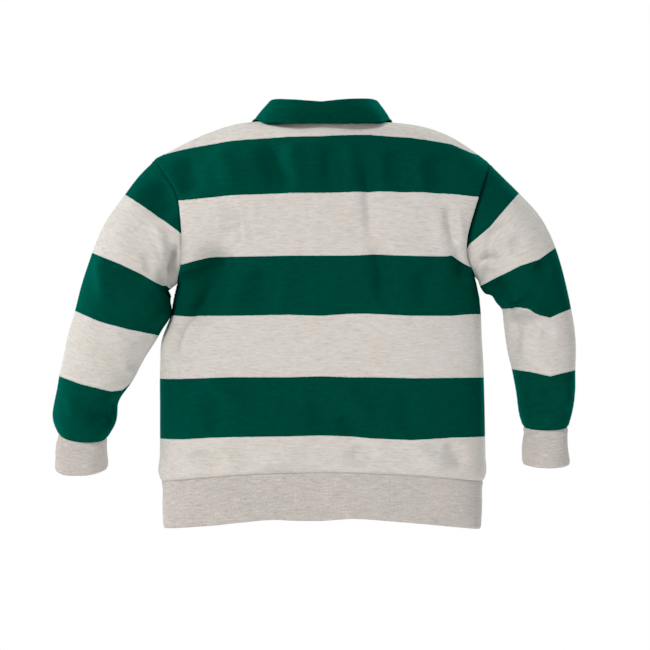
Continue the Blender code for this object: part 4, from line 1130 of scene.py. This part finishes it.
seam = np.concatenate((body_grids["back"][0], body_grids["front"][0][-2:0:-1]))
downs = np.linspace(EDGE_STEPS[-1], HEM_ROWS[-1].down, HEM_LINES)
downs = np.unique(np.concatenate((EDGE_STEPS, downs)))
hem_drops = through([row.x for row in HEM_DROPS], column(HEM_DROPS, "drop"), seam[:, 0])
insets = through(column(HEM_ROWS, "down"), column(HEM_ROWS, "inset"), downs)
flat = seam * np.array([1.0, 1.0, 0.0])
way = flat / np.linalg.norm(flat, axis=1, keepdims=True)
base = np.array([seam - way * inset - np.array([[0.0, 0.0, down]]) * (1.0 + hem_drops[:, None])
                 for down, inset in zip(downs, insets)][::-1])
away = np.broadcast_to(downs[::-1][:, None], base.shape[:2])
push = ripple(base, 41, 0.075) * 0.0010 * ease(away / 0.012) + seam_groove(away, 0.0006)
push = push - FREE_EDGE_TURN * ease((away - 0.055) / 0.003)
hem = lay_cloth("hem_band", base + grid_normals(base, True) * push[..., None],
                flat_places(base, True), rib, closed=True, wall=RIB_WALL)
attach(hem, "root")
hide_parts("hem_rib")

# Collar. One strip of close green knit, folded over into a stand inside the neck and a fall
# that lies on the shoulders, with two points in front.
COLLAR_WALL = 0.0019
CollarRow = namedtuple("CollarRow", "share left_x right_x fold_y fold_z edge_x edge_y edge_z")
COLLAR = (
    CollarRow(0.00, 0.0000, 0.0000, 0.0430, 0.0225, 0.0000, 0.0600, -0.0050),
    CollarRow(0.18, 0.0360, 0.0370, 0.0380, 0.0260, 0.0410, 0.0560, -0.0045),
    CollarRow(0.34, 0.0600, 0.0640, 0.0180, 0.0280, 0.0730, 0.0330, -0.0020),
    CollarRow(0.45, 0.0645, 0.0690, -0.0030, 0.0262, 0.0852, -0.0010, 0.0005),
    CollarRow(0.60, 0.0600, 0.0625, -0.0260, 0.0140, 0.0880, -0.0330, -0.0090),
    CollarRow(0.75, 0.0465, 0.0470, -0.0470, -0.0060, 0.0810, -0.0640, -0.0390),
    CollarRow(0.89, 0.0240, 0.0240, -0.0610, -0.0240, 0.0620, -0.0830, -0.0680),
    CollarRow(1.00, 0.0030, 0.0030, -0.0660, -0.0310, 0.0400, -0.0880, -0.0850),
)
COLLAR_DEEP = (0.0002, 0.0275, 0.0200, 1.0)
COLLAR_GREEN = (0.0003, 0.0365, 0.0268, 1.0)
COLLAR_WALES = 1.0 / 0.0014
COLLAR_FOLD_RADIUS = 0.0016
COLLAR_CLEARANCE = 0.0002
COLLAR_COLUMNS = 200
COLLAR_END = 0.12
PATH_PLACES = (0.00, 0.14, 0.28, 0.31, 0.34, 0.50, 0.72, 0.90, 1.00)
PATH_LINES = 46
FOLD_LINES = (0.295, 0.302, 0.318, 0.326, 0.333, 0.345)
FALL_PLACES = (0.3, 0.6, 0.85, 1.0)
FALL_BULGE = 0.002
LAY_REACH = 0.02
FALL_SHARE = 0.42
LAY_ROUNDS = 4


def neck_seam_line():
    """Neck seam from the front edge on the left round the back to the one on the right."""
    front_row, back_row = body_grids["front"][-1], body_grids["back"][-1]
    middle = front_row[MIDDLE]
    left_slit, right_slit = front_row[MIDDLE - SLIT_COLUMNS], front_row[MIDDLE + SLIT_COLUMNS]
    left_end = middle + (left_slit - middle) * COLLAR_END
    right_end = middle + (right_slit - middle) * COLLAR_END
    left = front_row[SHOULDER_COLUMNS:MIDDLE - SLIT_COLUMNS + 1][::-1]
    right = front_row[MIDDLE + SLIT_COLUMNS:len(front_row) - SHOULDER_COLUMNS][::-1]
    around = back_row[SHOULDER_COLUMNS:len(back_row) - SHOULDER_COLUMNS]
    return np.concatenate(([left_end], left[:-1], around, right[1:], [right_end]))


def collar_path(seam, share):
    """Up the stand, over the fold and down the fall, at one place along the collar."""
    row = row_at(COLLAR, abs(share))
    sign = 1.0 if share >= 0.0 else -1.0
    fold = np.array([sign * (row.left_x if share >= 0.0 else row.right_x), row.fold_y, row.fold_z])
    edge = np.array([sign * row.edge_x, row.edge_y, row.edge_z])
    out = (edge - fold) * np.array([1.0, 1.0, 0.0])
    out /= np.linalg.norm(out)
    lift = np.array([0.0, 0.0, COLLAR_FOLD_RADIUS])
    stand_top = fold - out * COLLAR_FOLD_RADIUS - lift
    fall_top = fold + out * COLLAR_FOLD_RADIUS - lift
    path = [seam, seam + (stand_top - seam) * 0.5, stand_top, fold, fall_top]
    path += [fall_top + (edge - fall_top) * t + out * FALL_BULGE * math.sin(math.pi * t)
             for t in FALL_PLACES]
    path = np.array(path)
    places = np.linspace(0.0, 1.0, PATH_LINES - len(FOLD_LINES))
    places = np.sort(np.concatenate((places, FOLD_LINES)))
    return np.stack([np.interp(places, PATH_PLACES, path[:, axis]) for axis in range(3)], axis=1)


def skin_tree(grids):
    """The outer faces of some grids, for finding what lies on them."""
    spots, faces = [], []
    for grid, flipped in grids:
        rows, columns = grid.shape[:2]
        start = len(spots)
        spots += [Vector(p) for p in grid.reshape(-1, 3)]
        for row in range(rows - 1):
            for col in range(columns - 1):
                at = start + row * columns + col
                ring = [at, at + 1, at + 1 + columns, at + columns]
                faces.append(ring[::-1] if flipped else ring)
    return BVHTree.FromPolygons(spots, faces)


spread = np.linspace(0.0, 1.0, COLLAR_COLUMNS + 1)
collar_base = np.array([collar_path(point, 1.0 - 2.0 * share)
                        for point, share in zip(along(neck_seam_line(), spread), spread)])
collar_base = collar_base.transpose(1, 0, 2)
collar_base[2:] = settle(collar_base[2:], False, 2)
body_skin = skin_tree([(body_grids["back"], False), (body_grids["front"], True)])
fall = int(PATH_LINES * FALL_SHARE)
lowest = COLLAR_CLEARANCE + COLLAR_WALL
for _ in range(LAY_ROUNDS):
    collar_base[fall:] = settle(collar_base[fall:], False, 3)
    lift = np.zeros_like(collar_base)
    for at in np.ndindex(collar_base.shape[:2]):
        if at[0] > fall:
            spot, normal, _, off = body_skin.find_nearest(Vector(collar_base[at]))
            height = (Vector(collar_base[at]) - spot).dot(normal)
            if off < LAY_REACH and height < lowest:
                lift[at] = np.array(normal) * (lowest - height)
    lift = settle(np.pad(lift, ((1, 1), (1, 1), (0, 0)), mode="edge"), False, 12)[1:-1, 1:-1]
    collar_base += lift
collar_push = ripple(collar_base, 53, 0.06) * 0.0005
collar_push *= ease(border_distance(collar_base, False) / 0.01)
collar_grid = collar_base + grid_normals(collar_base) * collar_push[..., None]

collar_knit = Finish("collar_knit", 0.9, 0.2, GREEN_SHEEN)
cloth = collar_knit.node("ShaderNodeUVMap", {"uv_map": "cloth"})
clouds, collar_tone = collar_knit.mottled(cloth, 160.0, 260.0, COLLAR_DEEP, COLLAR_GREEN)
collar_knit.put("Base Color", collar_tone)
collar_wale = arches(collar_knit.parts(cloth)[0] * COLLAR_WALES)
collar_knit.relief(collar_wale * 0.8 + clouds * 0.4, 0.0003, 0.6)

collar = lay_cloth("collar_strip", collar_grid, flat_places(collar_base), collar_knit, wall=COLLAR_WALL)
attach(collar, "root")
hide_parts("collar")

# Placket. Two strips of firm green cotton on the front opening: the lower one fills the slit
# and the upper one lies over it, sewn down along both edges and across its foot.
PLACKET_WALL = 0.0015
PLACKET_LIFT = 0.0019
STITCH_INSET = 0.0022
STITCH_DENT = 0.0006
STITCH_DENT_WIDTH = 0.0010
UPPER_HALF = 0.0172
UPPER_COLUMNS = 18
UPPER_START = 3
PLACKET_DEEP = (0.0004, 0.0330, 0.0225, 1.0)
PLACKET_GREEN = (0.0006, 0.0450, 0.0310, 1.0)

placket_cotton = Finish("placket_cotton", 0.88, 0.1, GREEN_SHEEN)
cloth = placket_cotton.node("ShaderNodeUVMap", {"uv_map": "cloth"})
twill = placket_cotton.node("ShaderNodeTexWave", {"bands_direction": "DIAGONAL"},
                            {"Vector": placket_cotton.stretched(cloth, 700.0, 700.0), "Scale": 1.0,
                             "Distortion": 0.3})
weave, placket_tone = placket_cotton.mottled(cloth, 400.0, 900.0, PLACKET_DEEP, PLACKET_GREEN, 3.0, 0.5)
placket_cotton.put("Base Color", placket_tone)
placket_cotton.relief(twill * 0.7 + weave * 0.5, 0.0002, 0.5)

front_grid = body_grids["front"]
front_normals = grid_normals(front_grid, False, True)
under_grid = front_grid[slit_row:, MIDDLE - SLIT_COLUMNS:MIDDLE + SLIT_COLUMNS + 1]
under = lay_cloth("placket_under_strip", under_grid, flat_places(under_grid), placket_cotton, flip=True)
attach(under, "root")
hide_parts("placket_under")


def placket_width(row, values):
    """One row's values at even steps across the placket, out from the middle of the front."""
    reach = run_along(front_grid[row])
    reach = (reach[MIDDLE] - reach)[::-1]
    offsets = np.linspace(-UPPER_HALF, UPPER_HALF, UPPER_COLUMNS + 1)
    return np.stack([np.interp(offsets, reach, values[row, ::-1, axis]) for axis in range(3)], axis=1)[::-1]


rows = range(slit_row - UPPER_START, front_grid.shape[0])
upper_base = np.array([placket_width(row, front_grid) for row in rows])
upper_ways = np.array([placket_width(row, front_normals) for row in rows])
upper_ways /= np.linalg.norm(upper_ways, axis=-1, keepdims=True)
upper_away = border_distance(upper_base, False)
upper_lift = PLACKET_LIFT - STITCH_DENT * np.exp(-((upper_away - STITCH_INSET) / STITCH_DENT_WIDTH) ** 2)
upper_grid = upper_base + upper_ways * upper_lift[..., None]
upper = lay_cloth("placket_upper_strip", upper_grid, flat_places(upper_grid), placket_cotton,
                  flip=True, wall=PLACKET_WALL)
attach(upper, "root")
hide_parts("placket_top")

THREAD_DEEP = (0.0010, 0.0520, 0.0370, 1.0)
THREAD_GREEN = (0.0020, 0.0950, 0.0680, 1.0)
thread = Finish("green_thread", 0.8)
ply = thread.noise(thread.node("ShaderNodeTexCoord", {}, {}, 3), 2500.0, 2.0)
thread.put("Base Color", thread.blend(ply, THREAD_DEEP, THREAD_GREEN))

# The rows of stitches that hold the upper strip down: along both edges and across the foot
STITCH_PITCH = 0.0031
STITCH_LENGTH = 0.0024
STITCH_RADIUS = 0.00033


def sew(work, line, ways):
    """Add a row of stitches along a line that lies on a cloth with the given normals."""
    count = max(2, int(round(line_length(line) / STITCH_PITCH)))
    shares = (np.arange(count) + 0.5) / count
    spots, ends = along(line, shares), along(line, shares + 0.2 / count)
    for spot, end, share in zip(spots, ends, shares):
        forward = Vector(end - spot).normalized()
        up = Vector(ways[int(round(share * (len(ways) - 1)))]).normalized()
        side = forward.cross(up).normalized()
        turn = Matrix((side, forward, side.cross(forward))).transposed().to_4x4()
        turn.translation = Vector(spot) + up * STITCH_RADIUS * 0.6
        size = Matrix.Diagonal((STITCH_RADIUS, STITCH_LENGTH / 2.0, STITCH_RADIUS, 1.0))
        bmesh.ops.create_uvsphere(work, u_segments=8, v_segments=6, radius=1.0, matrix=turn @ size)


upper_normals = grid_normals(upper_grid, False, True)
inset = int(round(STITCH_INSET / (2.0 * UPPER_HALF / UPPER_COLUMNS)))
work = bmesh.new()
for line in ((slice(1, None), inset), (slice(1, None), UPPER_COLUMNS - inset),
             (1, slice(inset, UPPER_COLUMNS - inset + 1))):
    sew(work, upper_grid[line], upper_normals[line])
stitches = add_mesh("placket_stitches", work, thread.material)
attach(stitches, "root")

# Buttons. Three turned resin discs with a raised rim and four holes, sewn through the upper
# strip with green thread.
BUTTON_RADIUS = 0.0058
BUTTON_HEIGHT = 0.0028
HOLE_RADIUS = 0.00075
HOLE_OFFSET = 0.00155
DRILL_DEPTH = 0.008
TIE_RADIUS = 0.00035
TIE_END = 0.0003
BUTTON_GAP = 0.0001

# The disc's outline from its centre underneath, out over the rim and in to the middle of its
# face: shares of its radius and height
TURNED = ((0.0, 0.02), (0.90, 0.0), (0.98, 0.12), (1.0, 0.35), (1.0, 0.62), (0.97, 0.86),
          (0.90, 1.0), (0.80, 0.99), (0.72, 0.84), (0.62, 0.70), (0.0, 0.66))

resin = Finish("button_resin", 0.32, gloss=0.5)
mottle = resin.noise(resin.node("ShaderNodeTexCoord", {}, {}, 3), 220.0, 4.0)
resin.put("Base Color", resin.blend(mottle, (0.80, 0.77, 0.71, 1.0), (0.70, 0.66, 0.59, 1.0)))
resin.put("Roughness", mottle * 0.2 + 0.22)

for node in ("button_1", "button_2", "button_3"):
    low_corner, high_corner = (Vector(corner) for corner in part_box(node))
    centre = (low_corner + high_corner) / 2.0
    gaps = np.linalg.norm(upper_grid - np.array(centre), axis=-1)
    row = np.unravel_index(int(gaps.argmin()), gaps.shape)[0]
    way = Vector(upper_normals[row, UPPER_COLUMNS // 2]).normalized()
    strip_face = Vector(upper_grid[row, UPPER_COLUMNS // 2])
    turn = way.to_track_quat("Z", "X").to_matrix().to_4x4()
    turn.translation = centre - way * ((centre - strip_face).dot(way) - BUTTON_GAP)

    work = bmesh.new()
    line = [work.verts.new((BUTTON_RADIUS * r, 0.0, BUTTON_HEIGHT * h)) for r, h in TURNED]
    edges = [work.edges.new(pair) for pair in zip(line, line[1:])]
    bmesh.ops.spin(work, geom=line + edges, cent=(0, 0, 0), axis=(0, 0, 1),
                   angle=2 * math.pi, steps=48, use_merge=True)
    bmesh.ops.remove_doubles(work, verts=work.verts, dist=1e-6)
    bmesh.ops.recalc_face_normals(work, faces=work.faces)
    disc = add_mesh("disc", work)
    work = bmesh.new()
    for x, y in ((1, 1), (-1, 1), (-1, -1), (1, -1)):
        bmesh.ops.create_cone(work, cap_ends=True, segments=16, radius1=HOLE_RADIUS,
                              radius2=HOLE_RADIUS, depth=DRILL_DEPTH,
                              matrix=Matrix.Translation((x * HOLE_OFFSET, y * HOLE_OFFSET, 0.0)))
    drill = add_mesh("drill", work, smooth=False)
    holes = disc.modifiers.new("holes", "BOOLEAN")
    holes.object = drill
    holes.operation = "DIFFERENCE"
    holes.solver = "EXACT"
    bpy.context.view_layer.update()
    ready = bpy.data.meshes.new_from_object(disc.evaluated_get(bpy.context.evaluated_depsgraph_get()))
    bpy.data.objects.remove(disc)
    bpy.data.objects.remove(drill)
    ready.transform(turn)
    ready.name = node + "_disc"
    ready.materials.clear()
    ready.materials.append(resin.material)
    ready.set_sharp_from_angle(angle=math.radians(50.0))
    button = add_object(node + "_disc", ready)
    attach(button, "root")
    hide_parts(node)

    work = bmesh.new()
    for across in (1.0, -1.0):
        bmesh.ops.create_cone(work, cap_ends=True, segments=8, radius1=TIE_RADIUS, radius2=TIE_RADIUS,
                              depth=2.0 * (HOLE_OFFSET * math.sqrt(2.0) + TIE_END),
                              matrix=Matrix.Translation((0.0, 0.0, BUTTON_HEIGHT * 0.80))
                              @ Matrix.Rotation(across * math.pi / 4.0, 4, "Z")
                              @ Matrix.Rotation(math.pi / 2.0, 4, "X"))
    bmesh.ops.transform(work, matrix=turn, verts=work.verts)
    tie = add_mesh(node + "_thread", work, thread.material)
    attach(tie, "root")
